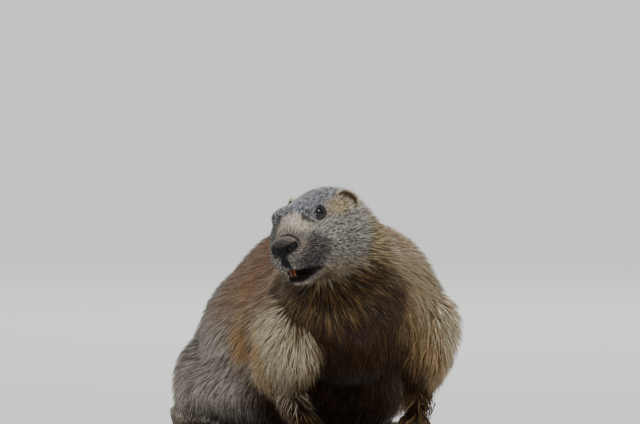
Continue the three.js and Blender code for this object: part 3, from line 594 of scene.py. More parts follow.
def region_masks(p):
    """Masks by name, in the order in which they are painted over one another."""
    head = into_head(p)
    folded = fold_over(head)
    hx, hy, hz = np.moveaxis(folded, -1, 0)
    near_head = 1 - smooth(length_of(head), 60, 78)
    x, y, z = np.moveaxis(p + 5 * ripple(p, 60)[..., None], -1, 0)
    half = np.abs(x)
    from_nose = length_of(p - NOSE_TIP)
    mirrored = np.stack([-half, y, z], -1)
    # The gold stripe has two parts, one on the trunk and one on the shoulder.
    on_trunk = near_path(mirrored, [(-60, 122, 178), (-70, 106, 158), (-78, 98, 137), (-84, 92, 112)])
    on_shoulder = near_path(mirrored, [(-93, 26, 130), (-98, 19, 112), (-97, 17, 98), (-91, 18, 76)])
    stripe = np.minimum(on_trunk, on_shoulder)
    # A pale column of hair hangs before the shoulder, with a darker edge in front and painted shade in a fold
    # behind.
    column = near_path(mirrored, [(-84, -10, 160), (-84, -18, 125), (-80, -14, 90), (-76, -4, 60)])
    edge = near_path(mirrored, [(-78, -48, 158), (-68, -44, 125), (-62, -26, 90), (-58, -6, 50)])
    fold_shade = near_path(mirrored, [(-94, -2, 118), (-92, -6, 101)])
    # On the head, places are counted in its own frame.
    face = near_head * (1 - smooth(hy - 0.3 * hz, 16, 52))
    top = smooth(hz - 0.25 * hx, 2, 11)
    behind_eye = length_of(np.stack([hx - 27, (hy - 8) * 0.6, hz - 14], -1))
    muzzle_side = length_of(np.stack([hx - 15, hy + 34, (hz + 20) * 0.8], -1))
    lip_edge = near_path(folded, [(19, -30, 0), (24, -20, -14)])
    # The chest, dark brown hair with painted shade, lies between two sloping edges, with brown hair beyond
    # the second.
    low_front = (1 - smooth(y, 0, 50)) * (1 - smooth(z, 166, 188))
    right_edge = 6 + 0.72 * (159 - z)
    left_edge = -74 + 0.2 * (146 - z)
    between = smooth(x, left_edge, left_edge + 18) * (1 - smooth(x, right_edge - 6, right_edge + 16))
    beyond = smooth(x, right_edge - 10, right_edge + 8) * (1 - smooth(x, right_edge + 18, right_edge + 42))
    yield "back", smooth(z, 112, 160) * (1 - smooth(y, 130, 230))
    yield "back", smooth(z, 196, 222) * (1 - smooth(y, 240, 330))
    yield "belly", (1 - smooth(z, 18, 52)) * smooth(y, 40, 90) * (1 - smooth(half, 48, 84))
    yield "straw", (1 - smooth(from_nose, 120, 185)) * smooth(z, 60, 120)
    yield "straw", smooth(x, -6, 34) * (1 - smooth(y, 66, 140)) * smooth(z, 50, 90)
    yield "straw", (1 - smooth(column, 22, 44))
    yield "cream", (1 - smooth(column, 10, 30)) * 0.8
    yield "belly", (1 - smooth(edge, 6, 20)) * 0.8
    yield "gold", (1 - smooth(stripe, 11, 26)) * smooth(z, 56, 76)
    yield "back", smooth(z, 178, 205) * smooth(hy, 50, 80) * (1 - smooth(x, -20, 30))
    yield "belly", beyond * low_front * 0.7
    yield "chest_in_painted_shade", np.minimum(between * low_front, 1)
    yield "leg", (1 - smooth(z, 62, 98)) * (1 - smooth(y, 40, 90)) * smooth(half, 20, 44) * smooth(x, -70, 10)
    yield "leg", (1 - smooth(z, 40, 66)) * (1 - smooth(y, 40, 90)) * smooth(half, 20, 44)
    # Under the body, between and behind the legs, the chest colours paint shade as well.
    behind_leg = smooth(y, 20, 50)
    under = (1 - smooth(z - 30 * behind_leg, 70, 104)) * (1 - smooth(y, 110, 170))
    yield "chest_in_painted_shade", under * (1 - smooth(half, 36 + 18 * behind_leg, 78))
    # Painted shade in the fold behind the column, in the crown's slate colours.
    yield "crown", (1 - smooth(fold_shade, 4, 13)) * 0.75
    yield "buff", near_head * smooth(hy - 0.3 * hz, -6, 34)
    yield "face", face
    yield "buff", face * (1 - smooth(hz, -40, -20)) * smooth(hy, -26, -6) * 0.8
    # Painted shade under the chin, in the dark throat colours.
    yield "throat", near_head * (1 - smooth(hz, -42, -24)) * smooth(hy, -30, -8)
    yield "crown", near_head * top * (1 - smooth(hy + 5 * ripple(p, 18), 14, 58))
    yield "buff", face * (1 - smooth(behind_eye, 5, 13)) * 0.7
    yield "whisker", face * (1 - smooth(muzzle_side, 9, 19))
    yield "whisker", face * (1 - smooth(lip_edge, 2, 7)) * 0.8
    yield "face", face * (1 - smooth(hy, -34, -22)) * (1 - smooth(hz, -46, -36)) * 0.8
    yield "band", face * (1 - smooth(np.abs(hy + 28), 4, 9)) * smooth(hz, -4, 4) * (1 - smooth(hx, 11, 18))
    yield "velvet", face * (1 - smooth(hy, -40, -33)) * smooth(hz, -16, -6)
    yield "foot", (1 - smooth(z, 12, 32)) * (1 - smooth(y, 300, 320))
    yield "tail", smooth(y, 320, 350)
    yield "tail_end", smooth(y, 410, 450)
    yield "ear", near_head * (1 - smooth(length_of(folded - EAR_CENTRE), 9, 15))
    in_eye = beside_eye(head)
    yield "lid", (1 - smooth(socket(in_eye), 0.2, 1.8)) * (length_of(in_eye) < 14)
    from_mouth = length_of(folded - (0, -36, -35))
    # Dark lips round the mouth, and painted shade inside it.
    yield "mouth", (1 - smooth(mouth(head), 1.6, 4.5)) * (1 - smooth(from_mouth, 20, 25))


def markings(p):
    """Root, middle and pale colours and the shares of pale and dark hairs, mixed in region by region."""
    start = PALETTE["flank"]
    painted = [np.broadcast_to(part, p.shape[:-1] + np.shape(part)).copy() for part in start]
    for name, mask in region_masks(p):
        for i, part in enumerate(PALETTE[name]):
            share = mask[..., None] if i < 3 else mask
            painted[i] = mix(painted[i], part, share)
    return painted


print("regions painted:", len(REGIONS))

# %% [markdown]
# ## The way the coat lies
# On the head and neck the hair points away from the nose, on the body back and down, down the legs, and
# along the tail. A slow ripple turns it a little from place to place, because a real coat parts into locks.

# %% The lie of the coat


def lie(p):
    """Away from the nose near it, then back and down, down the legs and along the tail; a unit vector."""
    away = unit(p - NOSE_TIP)
    low = 1 - smooth(p[..., 2], 50, 130)
    back = unit(np.stack([0 * low, 1 + 0 * low, -1.5 - 0.6 * low], -1))
    front = (1 - smooth(p[..., 2], 130, 190)) * (1 - smooth(p[..., 1], 30, 100))
    back = mix(back, np.array([0.0, 0.35, -1.0]), front[..., None])
    back = mix(back, np.array([0.1, 1.0, -0.05]), smooth(p[..., 1], 318, 350)[..., None])
    from_nose = length_of(p - NOSE_TIP)
    way = mix(away, back, smooth(from_nose, 90, 210)[..., None])
    way[..., 2] -= 0.3 * smooth(from_nose, 80, 130) * (1 - smooth(p[..., 1], 300, 340))
    return unit(way)


# %% [markdown]
# ## Meshes and materials
# Thousands of tufts go into Blender as whole arrays. Each vertex carries its hair's root and tip colour and
# how far along the hair it sits, and a node group that all coats share turns these into a banded hair.

# %% From arrays to a piece


def make_piece(name, points, faces, material, slot, smooth_faces=True):
    """A mesh object from points in the marmot's own frame, in millimetres, which rides on the still body."""
    faces = np.asarray(faces)
    mesh = bpy.data.meshes.new(name)
    mesh.vertices.add(len(points))
    mesh.vertices.foreach_set("co", ((np.asarray(points) + ORIGIN) * MM).astype(np.float32).ravel())
    mesh.loops.add(faces.size)
    mesh.loops.foreach_set("vertex_index", faces.astype(np.int32).ravel())
    mesh.polygons.add(len(faces))
    mesh.polygons.foreach_set("loop_start", np.arange(0, faces.size, faces.shape[1], dtype=np.int32))
    mesh.polygons.foreach_set("use_smooth", np.full(len(faces), smooth_faces))
    mesh.update(calc_edges=True)
    mesh.materials.append(material)
    piece = bpy.data.objects.new(name, mesh)
    bpy.context.scene.collection.objects.link(piece)
    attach(piece, "root")
    return piece


def add_colour(piece, name, colours):
    """One colour for each vertex."""
    rgba = np.concatenate([colours, np.ones((len(colours), 1))], -1).astype(np.float32)
    attribute = piece.data.attributes.new(name, "FLOAT_COLOR", "POINT")
    attribute.data.foreach_set("color", rgba.ravel())


def add_value(piece, name, values):
    """One number for each vertex."""
    attribute = piece.data.attributes.new(name, "FLOAT", "POINT")
    attribute.data.foreach_set("value", values.astype(np.float32).ravel())


def add_bake_map(piece, uv):
    """The UV map OFBake from one pair for each vertex, in the order of the mesh's loops."""
    loops = np.zeros(len(piece.data.loops), np.int32)
    piece.data.loops.foreach_get("vertex_index", loops)
    layer = piece.data.uv_layers.new(name="OFBake")
    layer.data.foreach_set("uv", uv[loops].astype(np.float32).ravel())


def bands(rings, next_rings, corners):
    """Two triangles for each corner of a ring: with its neighbour, and the same two corners one ring on."""
    i, j = np.meshgrid(rings, np.arange(corners), indexing="ij")
    on, _ = np.meshgrid(next_rings, np.arange(corners), indexing="ij")
    k = (j + 1) % corners
    a, b, c, d = [(ring * corners + corner).ravel() for ring, corner in ((i, j), (i, k), (on, k), (on, j))]
    return [np.stack([a, b, c], -1), np.stack([a, c, d], -1)]


def close_rings(rings):
    """Points and triangles of a closed body: bands between rings of corners, and a fan at either end."""
    count, corners = rings.shape[:2]
    points = np.concatenate([rings.reshape(-1, 3), rings[0].mean(0)[None], rings[-1].mean(0)[None]])
    j = np.arange(corners)
    k = (j + 1) % corners
    first = 0 * j + count * corners
    end = (count - 1) * corners
    fans = [np.stack([first, k, j], -1), np.stack([first + 1, end + j, end + k], -1)]
    return points, np.concatenate(bands(np.arange(count - 1), np.arange(1, count), corners) + fans)


def hoop(rings):
    """Points and triangles of a tube whose last ring meets its first."""
    count, corners = rings.shape[:2]
    order = np.arange(count)
    return rings.reshape(-1, 3), np.concatenate(bands(order, np.roll(order, -1), corners))


def globe(rows, columns, gap):
    """Directions by polar angle and turn: sin polar cos turn, sin polar sin turn and cos polar."""
    polar = np.linspace(gap, math.pi - gap, rows)[:, None]
    turn = np.linspace(0, 2 * math.pi, columns, endpoint=False)[None]
    level = np.cos(polar) + 0 * turn
    return polar, np.stack([np.sin(polar) * np.cos(turn), np.sin(polar) * np.sin(turn), level], -1)


def join_parts(parts):
    """Several lists of points and triangles as one."""
    starts = np.cumsum([0] + [len(points) for points, _ in parts[:-1]])
    points = np.concatenate([points for points, _ in parts])
    return points, np.concatenate([faces + start for (_, faces), start in zip(parts, starts)])


def facing_out(points, faces):
    """The faces of a closed body, pointing outwards: its signed volume has to be positive."""
    a, b, c = [points[faces[:, i]] for i in range(3)]
    volume = np.einsum("ij,ij->", a, np.cross(b, c))
    return faces if volume > 0 else faces[:, ::-1]


# %% A group for banded hair


def new_group(name, inputs, outputs):
    """An empty shader group with named sockets."""
    group = bpy.data.node_groups.new(name, "ShaderNodeTree")
    for label, kind, value in inputs:
        socket = group.interface.new_socket(label, in_out="INPUT", socket_type=kind)
        socket.default_value = value
    for label, kind in outputs:
        group.interface.new_socket(label, in_out="OUTPUT", socket_type=kind)
    ends = group.nodes.new("NodeGroupInput"), group.nodes.new("NodeGroupOutput")
    return group, ends[0].outputs, ends[1].inputs


def add_node(tree, kind, values=None, **settings):
    """A node with its settings and the values of its named or numbered inputs."""
    node = tree.nodes.new(kind)
    for key, value in settings.items():
        setattr(node, key, value)
    for key, value in (values or {}).items():
        if isinstance(value, bpy.types.NodeSocket):
            tree.links.new(value, node.inputs[key])
        else:
            node.inputs[key].default_value = value
    return node


def mixed(tree, share, a, b, blend_type="MIX"):
    """The output of a colour mix node."""
    node = add_node(tree, "ShaderNodeMix", {0: share, 6: a, 7: b}, data_type="RGBA", blend_type=blend_type)
    return node.outputs[2]


def ranged(tree, value, low, high, start=0.0, end=1.0):
    """A value moved from one range to another and kept inside it."""
    node = add_node(tree, "ShaderNodeMapRange", {0: value, 1: low, 2: high, 3: start, 4: end})
    return node.outputs[0]


def soft_noise(tree, scale, detail):
    """Noise by the place on the piece, most of it from 0.3 to 0.7."""
    place = add_node(tree, "ShaderNodeTexCoord").outputs["Object"]
    values = {"Vector": place, "Scale": scale, "Detail": detail}
    return add_node(tree, "ShaderNodeTexNoise", values).outputs["Fac"]


def banded_hair_group():
    """Root colour, then tip colour beyond the band, with fine streaks for the single hairs of a tuft."""
    inputs = [
        ("Root", "NodeSocketColor", (0.05, 0.04, 0.03, 1)),
        ("Tip", "NodeSocketColor", (0.5, 0.4, 0.3, 1)),
        ("Along", "NodeSocketFloat", 0.5),
        ("Band", "NodeSocketFloat", 0.35),
        ("Streak", "NodeSocketFloat", 0.3),
        ("Scale", "NodeSocketFloat", 900.0),
    ]
    group, given, result = new_group("banded hair", inputs, [("Color", "NodeSocketColor")])
    noise = soft_noise(group, given["Scale"], 2.0)
    along_and_band = {0: given["Along"], 1: given["Band"]}
    beyond = add_node(group, "ShaderNodeMath", along_and_band, operation="SUBTRACT").outputs[0]
    banded = mixed(group, ranged(group, beyond, -0.22, 0.25), given["Root"], given["Tip"])
    streaks = ranged(group, noise, 0.3, 0.7, 0.55, 1.35)
    streaked = mixed(group, given["Streak"], banded, mixed(group, 1.0, banded, streaks, "MULTIPLY"))
    group.links.new(streaked, result["Color"])
    return group


BANDED_HAIR = banded_hair_group()


def new_material(name, roughness, specular=0.5, coat=0.0):
    """A Principled material; its plain numbers are set on the shader's own sockets."""
    material = bpy.data.materials.new(name)
    material.use_nodes = True
    shader = material.node_tree.nodes["Principled BSDF"]
    shader.inputs["Roughness"].default_value = roughness
    shader.inputs["Specular IOR Level"].default_value = specular
    shader.inputs["Coat Weight"].default_value = coat
    return material, material.node_tree, shader


def hair_material(name, roughness, band, streak):
    """A coat: the banded hair group reads each tuft's own colours."""
    material, tree, shader = new_material(name, roughness, specular=0.28)
    values = {"Band": band, "Streak": streak}
    for key, name_read, output in (
        ("Root", "root_colour", "Color"),
        ("Tip", "tip_colour", "Color"),
        ("Along", "along", "Fac"),
    ):
        values[key] = add_node(tree, "ShaderNodeAttribute", attribute_name=name_read).outputs[output]
    hair = add_node(tree, "ShaderNodeGroup", values, node_tree=BANDED_HAIR)
    tree.links.new(hair.outputs["Color"], shader.inputs["Base Color"])
    return material


def speckled_material(name, colours, roughness, scale, bump, specular=0.5):
    """Two colours in soft noise, or with none the piece's own skin_colour times that noise; a fine bump."""
    material, tree, shader = new_material(name, roughness, specular)
    noise = soft_noise(tree, scale, 4.0)
    if colours:
        dark, light = [(*paint(code), 1.0) for code in colours]
        colour = mixed(tree, ranged(tree, noise, 0.35, 0.65), dark, light)
    else:
        base = add_node(tree, "ShaderNodeAttribute", attribute_name="skin_colour").outputs["Color"]
        colour = mixed(tree, 1.0, base, ranged(tree, noise, 0.3, 0.7, 0.6, 1.25), "MULTIPLY")
    tree.links.new(colour, shader.inputs["Base Color"])
    raised = add_node(tree, "ShaderNodeBump", {"Strength": bump, "Distance": 0.0006, "Height": noise})
    tree.links.new(raised.outputs["Normal"], shader.inputs["Normal"])
    return material


FLESH = speckled_material("skin under the coat", None, 0.7, 700.0, 0.4, 0.25)
LID = speckled_material("eyelid", ("060505", "14100e"), 0.42, 2600.0, 0.35)
NOSE = speckled_material("nose leather", None, 0.6, 1500.0, 0.8, 0.2)
HORN = speckled_material("claw horn", ("17110e", "3b2d24"), 0.32, 900.0, 0.25)
# Orange incisor enamel, darkened with painted shade.
SHADED_ENAMEL = speckled_material("incisor enamel with painted shade", ("45200a", "6b360b"), 0.45, 500.0, 0.15, 0.3)
PAD = speckled_material("sole pads", ("1d1817", "3a302c"), 0.55, 1400.0, 0.6)
COATS = {
    "coat_head": hair_material("face and cheek hair", 0.5, 0.22, 0.35),
    "coat_neck": hair_material("ruff hair", 0.48, 0.34, 0.4),
    "coat_body": hair_material("body hair", 0.48, 0.36, 0.45),
    "coat_leg": hair_material("leg hair", 0.52, 0.34, 0.4),
    "coat_foot": hair_material("foot hair", 0.55, 0.2, 0.3),
    "coat_tail": hair_material("tail hair", 0.5, 0.34, 0.4),
}
print("materials:", len(bpy.data.materials))

# %% Dress the flesh
FLESH_NODES = ["head", "neck", "torso_front", "torso_rear", "tail_base", "tail_tip"]
FLESH_NODES += [f"{part}_{side}" for part in ("foreleg", "forepaw", "hindleg", "hindfoot") for side in SIDES]
skin_piece = make_piece("marmot_skin", skin_points, skin_faces, FLESH, "coat_body")
root_colour, middle_colour, *_ = markings(skin_points)
add_colour(skin_piece, "skin_colour", mix(root_colour, middle_colour, 0.3))
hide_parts(*FLESH_NODES)
print("skin stands for", len(FLESH_NODES), "nodes")

# %% [markdown]
# ## Eyes
# A marmot's eye is a dark, wet ball, almost all pupil and deep brown iris. The ball is a sphere with a
# slightly raised cornea. The rim of the lids is a soft tube along an almond-shaped path that hugs the ball.

# %% Eyeballs
CORNEA_RISE = 0.7


def eyeball(side, rows=40, columns=56):
    """A sphere about the eye's axis, with a bump near its pole that falls off as a squared cosine."""
    polar, out = globe(rows, columns, 0.02)
    radius = EYE_RADIUS - 0.25 + CORNEA_RISE * np.cos(np.clip(polar * 1.6, 0, math.pi / 2)) ** 2
    return close_rings((out * radius[..., None]) @ eye_axes(side) + EYE_CENTRE * (side, 1, 1))


def eye_material():
    """A black pupil in a deep brown iris, drawn by the angle from the eye's axis, under a wet coat."""
    material, tree, shader = new_material("wet eye", 0.12, 0.3, coat=0.35)
    shader.inputs["Coat Roughness"].default_value = 0.03
    ring = add_node(tree, "ShaderNodeAttribute", attribute_name="ring").outputs["Fac"]
    iris = mixed(tree, ranged(tree, ring, 0.55, 0.85), (*paint("1d0f08"), 1), (*paint("0a0706"), 1))
    pupil = mixed(tree, ranged(tree, ring, 0.36, 0.42), (*paint("020202"), 1), iris)
    tree.links.new(pupil, shader.inputs["Base Color"])
    return material


WET_EYE = eye_material()
for name, side in SIDES.items():
    points, faces = eyeball(side)
    eye = make_piece(f"eyeball_{name}", on_head(points), facing_out(points, faces), WET_EYE, "eye")
    out = unit(points - EYE_CENTRE * (side, 1, 1)) @ (EYE_AXIS * (side, 1, 1))
    add_value(eye, "ring", np.arccos(np.clip(out, -1, 1)))
    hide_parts(f"eye_{name}")

# %% Rims of the lids


def lid_path(side, count=96):
    """A pointed oval round the eye's axis, laid on a sphere just over the ball."""
    t = np.linspace(0, 2 * math.pi, count, endpoint=False)
    across = LID_HEIGHT / 2 * np.sin(t) * (0.82 + 0.18 * np.abs(np.sin(t)))
    flat = np.stack([LID_LENGTH / 2 * np.cos(t), across], -1)
    rim = EYE_RADIUS + 0.55
    height = np.sqrt(np.maximum(rim**2 - (flat**2).sum(-1), 0.5))
    return np.concatenate([flat, height[:, None]], -1) @ eye_axes(side) + EYE_CENTRE * (side, 1, 1)


def tube(path, widths, corners, closed=False, flat=1.0):
    """A profile carried along a path: at each point a ring of the given radius, square to the path."""
    along = unit(np.roll(path, -1, 0) - np.roll(path, 1, 0)) if closed else unit(np.gradient(path, axis=0))
    side = unit(np.cross(along, unit(np.array([0.31, 0.22, 0.92]))))
    out = np.cross(side, along)
    angle = np.linspace(0, 2 * math.pi, corners, endpoint=False)[None, :, None]
    widths = np.broadcast_to(widths, len(path))[:, None, None]
    return path[:, None] + widths * (side[:, None] * np.cos(angle) + flat * out[:, None] * np.sin(angle))


for name, side in SIDES.items():
    path = lid_path(side)
    t = np.linspace(0, 2 * math.pi, len(path), endpoint=False)
    points, faces = hoop(tube(path, 0.85 + 0.25 * np.cos(2 * t), 12, closed=True))
    make_piece(f"eyelid_{name}", on_head(points), facing_out(points, faces), LID, "coat_head")
print("eyes set at", EYE_CENTRE, "in the head's frame")

# %% [markdown]
# ## Nose, lips and teeth
# The nose is a pad with velvet on top and bare black leather in front, with two comma-shaped nostrils and a
# groove below. It could be modelled from a ball by hand; here its surface is a radius for each direction
# from its middle, found by walking inwards by a part of the distance that is left, so the same formulas
# carve the nostrils. The incisors are two curved, flattened tubes of orange enamel, darkened with painted
# shade.

# %% Nose
NOSE_MIDDLE = np.array([0.0, -44.0, -9.0])
nose_pad = blend(4, [blob((0, -45.5, -6.5), (13.2, 9.4, 8.9)), blob((0, -45.5, -16), (7.4, 6.4, 8.8))])
nostril = limb((6.4, -57, -8.2), 1.3, (7.6, -49, -8), 1.5)
nostril_slit = limb((8.2, -55, -7), 1.0, (11.8, -49, -4.6), 0.7)
nostrils = both_sides(blend(1.5, [nostril, nostril_slit]))
lip_groove = limb((0, -57, -9), 0.55, (0, -53.5, -27), 0.75)


def nose_surface(p):
    """The pad with nostrils and groove carved in, each with a soft edge."""
    carved = -blend_two(-nose_pad(p), nostrils(p), 1.4)
    return -blend_two(-carved, lip_groove(p), 1.6)


def radial_surface(field, middle, rows, columns, reach):
    """A closed surface round a middle: along each ray the radius shrinks by a part of the field there."""
    ray = globe(rows, columns, 0.02)[1][..., [0, 2, 1]]
    radius = np.full(ray.shape[:2], float(reach))
    for _ in range(60):
        radius -= np.clip(field(middle + ray * radius[..., None]) * 0.6, -0.4, 0.8)
    return close_rings(middle + ray * np.maximum(radius, 0.5)[..., None])


nose_points, nose_faces = radial_surface(nose_surface, NOSE_MIDDLE, 110, 150, 17)
nose_faces = facing_out(nose_points, nose_faces)
nose_piece = make_piece("nose_pad", on_head(nose_points), nose_faces, NOSE, "nose_skin")
nose_x, nose_y, nose_z = nose_points.T
on_top = smooth(nose_z - 0.35 * nose_y - 0.1 * np.abs(nose_x), 12.4, 14.8)
on_top = np.maximum(on_top, smooth(nose_y, -46, -42) * smooth(nose_z, -16, -12))
# Painted shade inside the nostrils: their skin goes darker than the leather.
nostril_shade = 1 - smooth(nostrils(nose_points), 0.3, 1.6)
nose_colour = mix(paint("050505"), paint("3a332f"), on_top[:, None])
add_colour(nose_piece, "skin_colour", mix(nose_colour, paint("030303"), nostril_shade[:, None]))
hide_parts("nose")

# %% Incisors
incisors = []
for side in (-1, 1):
    share = np.linspace(0, 1, 14)
    path = np.stack([side * (1.75 - 0.1 * share), -40.4 - 1.6 * np.sin(share * 2.6), -24.5 - 9.8 * share], -1)
    width = 1.62 * np.where(share < 0.9, 1, 1 - 4 * (share - 0.9))
    incisors.append(close_rings(tube(path, width, 14, flat=0.72)))
points, faces = join_parts(incisors)
# The teeth are orange enamel darkened with painted shade.
teeth = make_piece("incisors", on_head(points), facing_out(points, faces), SHADED_ENAMEL, "tooth")
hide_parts("upper_incisors")

# %% [markdown]
# ## Ears
# The ears are small and round and sit low. Each is a shallow bowl: the profile runs over the back, round
# the rim and down into the cup, and is turned about the ear's own axis, wider than deep.

# %% Ear bowls
EAR_RADII = np.array([9.4, 10.2, 5.0])
EAR_OUT = unit(np.array([0.62, -0.62, 0.34]))


def ear_axes(side):
    """Across the ear, up it, and out of its cup."""
    out = EAR_OUT * (side, 1, 1)
    lean = np.array([0.1 * side, 0.25, 1.0])
    up = unit(lean - out * (lean @ out))
    return np.stack([np.cross(up, out), up, out])


def in_ear(side, p):
    """Places in the ear's own axes, counted in its radii."""
    return (p - EAR_CENTRE * (side, 1, 1)) @ ear_axes(side).T / EAR_RADII


def ear_bowl(side, columns=64):
    """A profile turned about the ear's axis: a half ellipse for the back, a small rim, a shallower cup."""
    back = np.linspace(0.03, math.pi / 2, 18)
    cup = np.linspace(math.pi / 2, 0.03, 18)
    radius = np.concatenate([np.sin(back), 0.97 - 0.11 * np.linspace(0.15, 1, 5), 0.84 * np.sin(cup)])
    rim = np.linspace(0.3, 2.8, 5)
    depth = np.concatenate([-np.cos(back), 0.22 * np.sin(rim), 0.05 - 0.78 * np.cos(cup)])
    angle = np.linspace(0, 2 * math.pi, columns, endpoint=False)[None]
    lobe = 1 + 0.08 * np.cos(angle - 1.9) + 0.04 * np.cos(3 * angle)
    flat = np.stack([radius[:, None] * np.cos(angle) * lobe, radius[:, None] * np.sin(angle) * lobe], -1)
    bowl = np.concatenate([flat, (depth[:, None] + 0 * angle)[..., None]], -1) * EAR_RADII
    return close_rings(bowl @ ear_axes(side) + EAR_CENTRE * (side, 1, 1))


EAR_SKIN = speckled_material("ear skin", None, 0.7, 900.0, 0.3, 0.25)
ear_parts = {}
for name, side in SIDES.items():
    points, faces = ear_bowl(side)
    faces = facing_out(points, faces)
    ear = make_piece(f"ear_bowl_{name}", on_head(points), faces, EAR_SKIN, "coat_head")
    local = in_ear(side, points)
    # Painted shade in the hollow of the ear: the skin of the cup goes near-black.
    painted_cup_shade = smooth(local[:, 2], -0.8, 0.0) * (1 - smooth(length_of(local[:, :2]), 0.5, 0.9))
    add_colour(ear, "skin_colour", mix(paint("6d5a44"), paint("1a1310"), np.maximum(painted_cup_shade, 0)[:, None]))
    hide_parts(f"ear_{name}")
    ear_parts[name] = (points, faces)

# %% [markdown]
# ## Claws
# Claws are horn: dark, smooth and slightly flattened, thick where they leave the toe and curved to a blunt
# tip. Each is a profile carried along an arc, set in a loop from the same toe lines as the paws.

# %% Claws
FLOOR_GAP = 0.1
claw_count = 0
for kind, paw in PAWS.items():
    for name, side in SIDES.items():
        for toe in range(paw["toes"]):
            _, _, tip, ahead = toe_line(kind, side, toe)
            share = np.linspace(0, 1, 16)
            forward = 1 - 4 * (1 - share) ** 6 + 0.97 * paw["claw"] * share
            path = tip + ahead * forward[:, None]
            path[:, 2] += 2.2 - 5.9 * share**2
            thick = mix(1.75, 0.45, share**1.3)
            points, faces = close_rings(tube(path, thick, 14, flat=0.8))
            points[:, 2] = np.maximum(points[:, 2], FLOOR_GAP)
            faces = facing_out(points, faces)
            claw = make_piece(f"claw_{kind}_{name}_{toe + 1}", points, faces, HORN, "claw")
            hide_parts(f"{kind}claw_{name}_{toe + 1}")
            claw_count += 1
print("claws:", claw_count)

# %% [markdown]
# ## The coat
# Single hairs can't be exported, so the coat is made of tufts: thin, closed, tapered blades of hair that
# leave the skin at a low angle, bend over and overlap like thatch. Every size follows the coat's depth, so
# tufts are a few millimetres long on the face and feet and longer on the body. They are worked out together
# as arrays: step by step along the lie, each ring of a tuft is set at its height between the skin and the
# outline.

# %% Scatter the roots
rng = np.random.default_rng(7)
COVER = 23.0
MOST_ON_FACE = 3.0
MOST_ON_FEET = 0.6
SOLE_SHARE = 0.35
BARE_EYE_MIDDLE = (-1.2, -0.2)
BARE_EYE_RADII = (7.6, 5.6)


def tuft_length(depth):
    """Longer where the coat is deeper."""
    return 1.3 + 1.45 * depth + 0.5 * np.maximum(depth - 5, 0)


def tuft_width(depth):
    """Broader where the coat is deeper."""
    return 0.38 + 0.066 * depth


def scatter(points, faces, density):
    """Evenly spread places on a mesh: equal steps of area times density, with a random point in each face."""
    a, b, c = [points[faces[:, i]] for i in range(3)]
    area = length_of(np.cross(b - a, c - a)) / 2
    total = np.cumsum(area * density((a + b + c) / 3))
    count = int(total[-1])
    wanted = (np.arange(count) + rng.random(count)) * total[-1] / count
    chosen = np.minimum(np.searchsorted(total, wanted), len(faces) - 1)
    u, v = np.sqrt(rng.random(count))[:, None], rng.random(count)[:, None]
    return a[chosen] * (1 - u) + b[chosen] * u * (1 - v) + c[chosen] * u * v


def coat_density(p):
    """Tufts for each square millimetre: COVER over length times width, and none on eye, mouth and nose."""
    depth = coat_depth(p)
    head = into_head(p)
    most = np.where(length_of(head) < 90, MOST_ON_FACE, MOST_ON_FEET)
    density = np.minimum(COVER / (tuft_length(depth) * tuft_width(depth)), most)
    density = density * mix(SOLE_SHARE, 1, smooth(p[:, 2], 4, 30))
    in_eye = beside_eye(head)
    from_slit = (in_eye[..., :2] - BARE_EYE_MIDDLE) / BARE_EYE_RADII
    in_eye = (length_of(from_slit) < 1) & (in_eye[..., 2] > 0)
    in_mouth = (mouth(head) < 1.0) & (length_of(head - (0, -36, -33)) < 26)
    under_nose = nose_surface(head) < 0.4
    return np.where(in_eye | in_mouth | under_nose | (p[:, 2] < 1.5), 0, density)


roots = scatter(skin_points, skin_faces, coat_density)
print("roots on the skin:", len(roots), clock())

# %% Grow the tufts
SHARES = (0.0, 0.5, 1.0)
LENGTHS = (0.72, 1.22)
SHADES = (0.72, 1.18)
STRAY = 0.17
LOCK_WAVES = ((0.22, 34, 1.0), (0.16, 13, 0.0))
MOST_LIFT = 8
PATCH = 0.003


def rise(share):
    """A hair's height between skin and outline: a little below the skin at its root, fast up, then level."""
    return 1.08 * (1 - (1 - share) ** 2.4) - 0.12 * (1 - share) ** 8


def grow(roots, lift):
    """The paths of the tufts and the way each ring faces: along the lie, between skin and outline."""
    count = len(roots)
    depth = coat_depth(roots)
    length = tuft_length(depth) * mix(*LENGTHS, rng.random(count))
    turn = STRAY * rng.standard_normal(count)
    for turned, size, shift in LOCK_WAVES:
        turn = turn + turned * ripple(roots, size, shift)
    stand = 1 + lift * np.abs(rng.standard_normal(count)) * smooth(depth, 4, 14)
    here = roots
    path, facing = [], []
    for before, share in zip((0.0,) + SHARES, SHARES):
        _, slope = field_and_slope(outline, here)
        out = unit(slope)
        way = lie(here)
        way = unit(way - out * np.einsum("ij,ij->i", way, out)[:, None])
        side = np.cross(out, way)
        way = way * np.cos(turn)[:, None] + side * np.sin(turn)[:, None]
        here = here + way * (length * (share - before))[:, None]
        level = -coat_depth(here) * (1 - rise(share) * (stand if share == SHARES[-1] else 1))
        gap = (level - outline(here)) / np.maximum(length_of(slope), 0.3)
        here = here + out * np.clip(gap, -MOST_LIFT, MOST_LIFT)[:, None]
        here[:, 2] = np.maximum(here[:, 2], 0.4)
        path.append(here)
        facing.append(out)
    return np.stack(path, 1), np.stack(facing, 1)


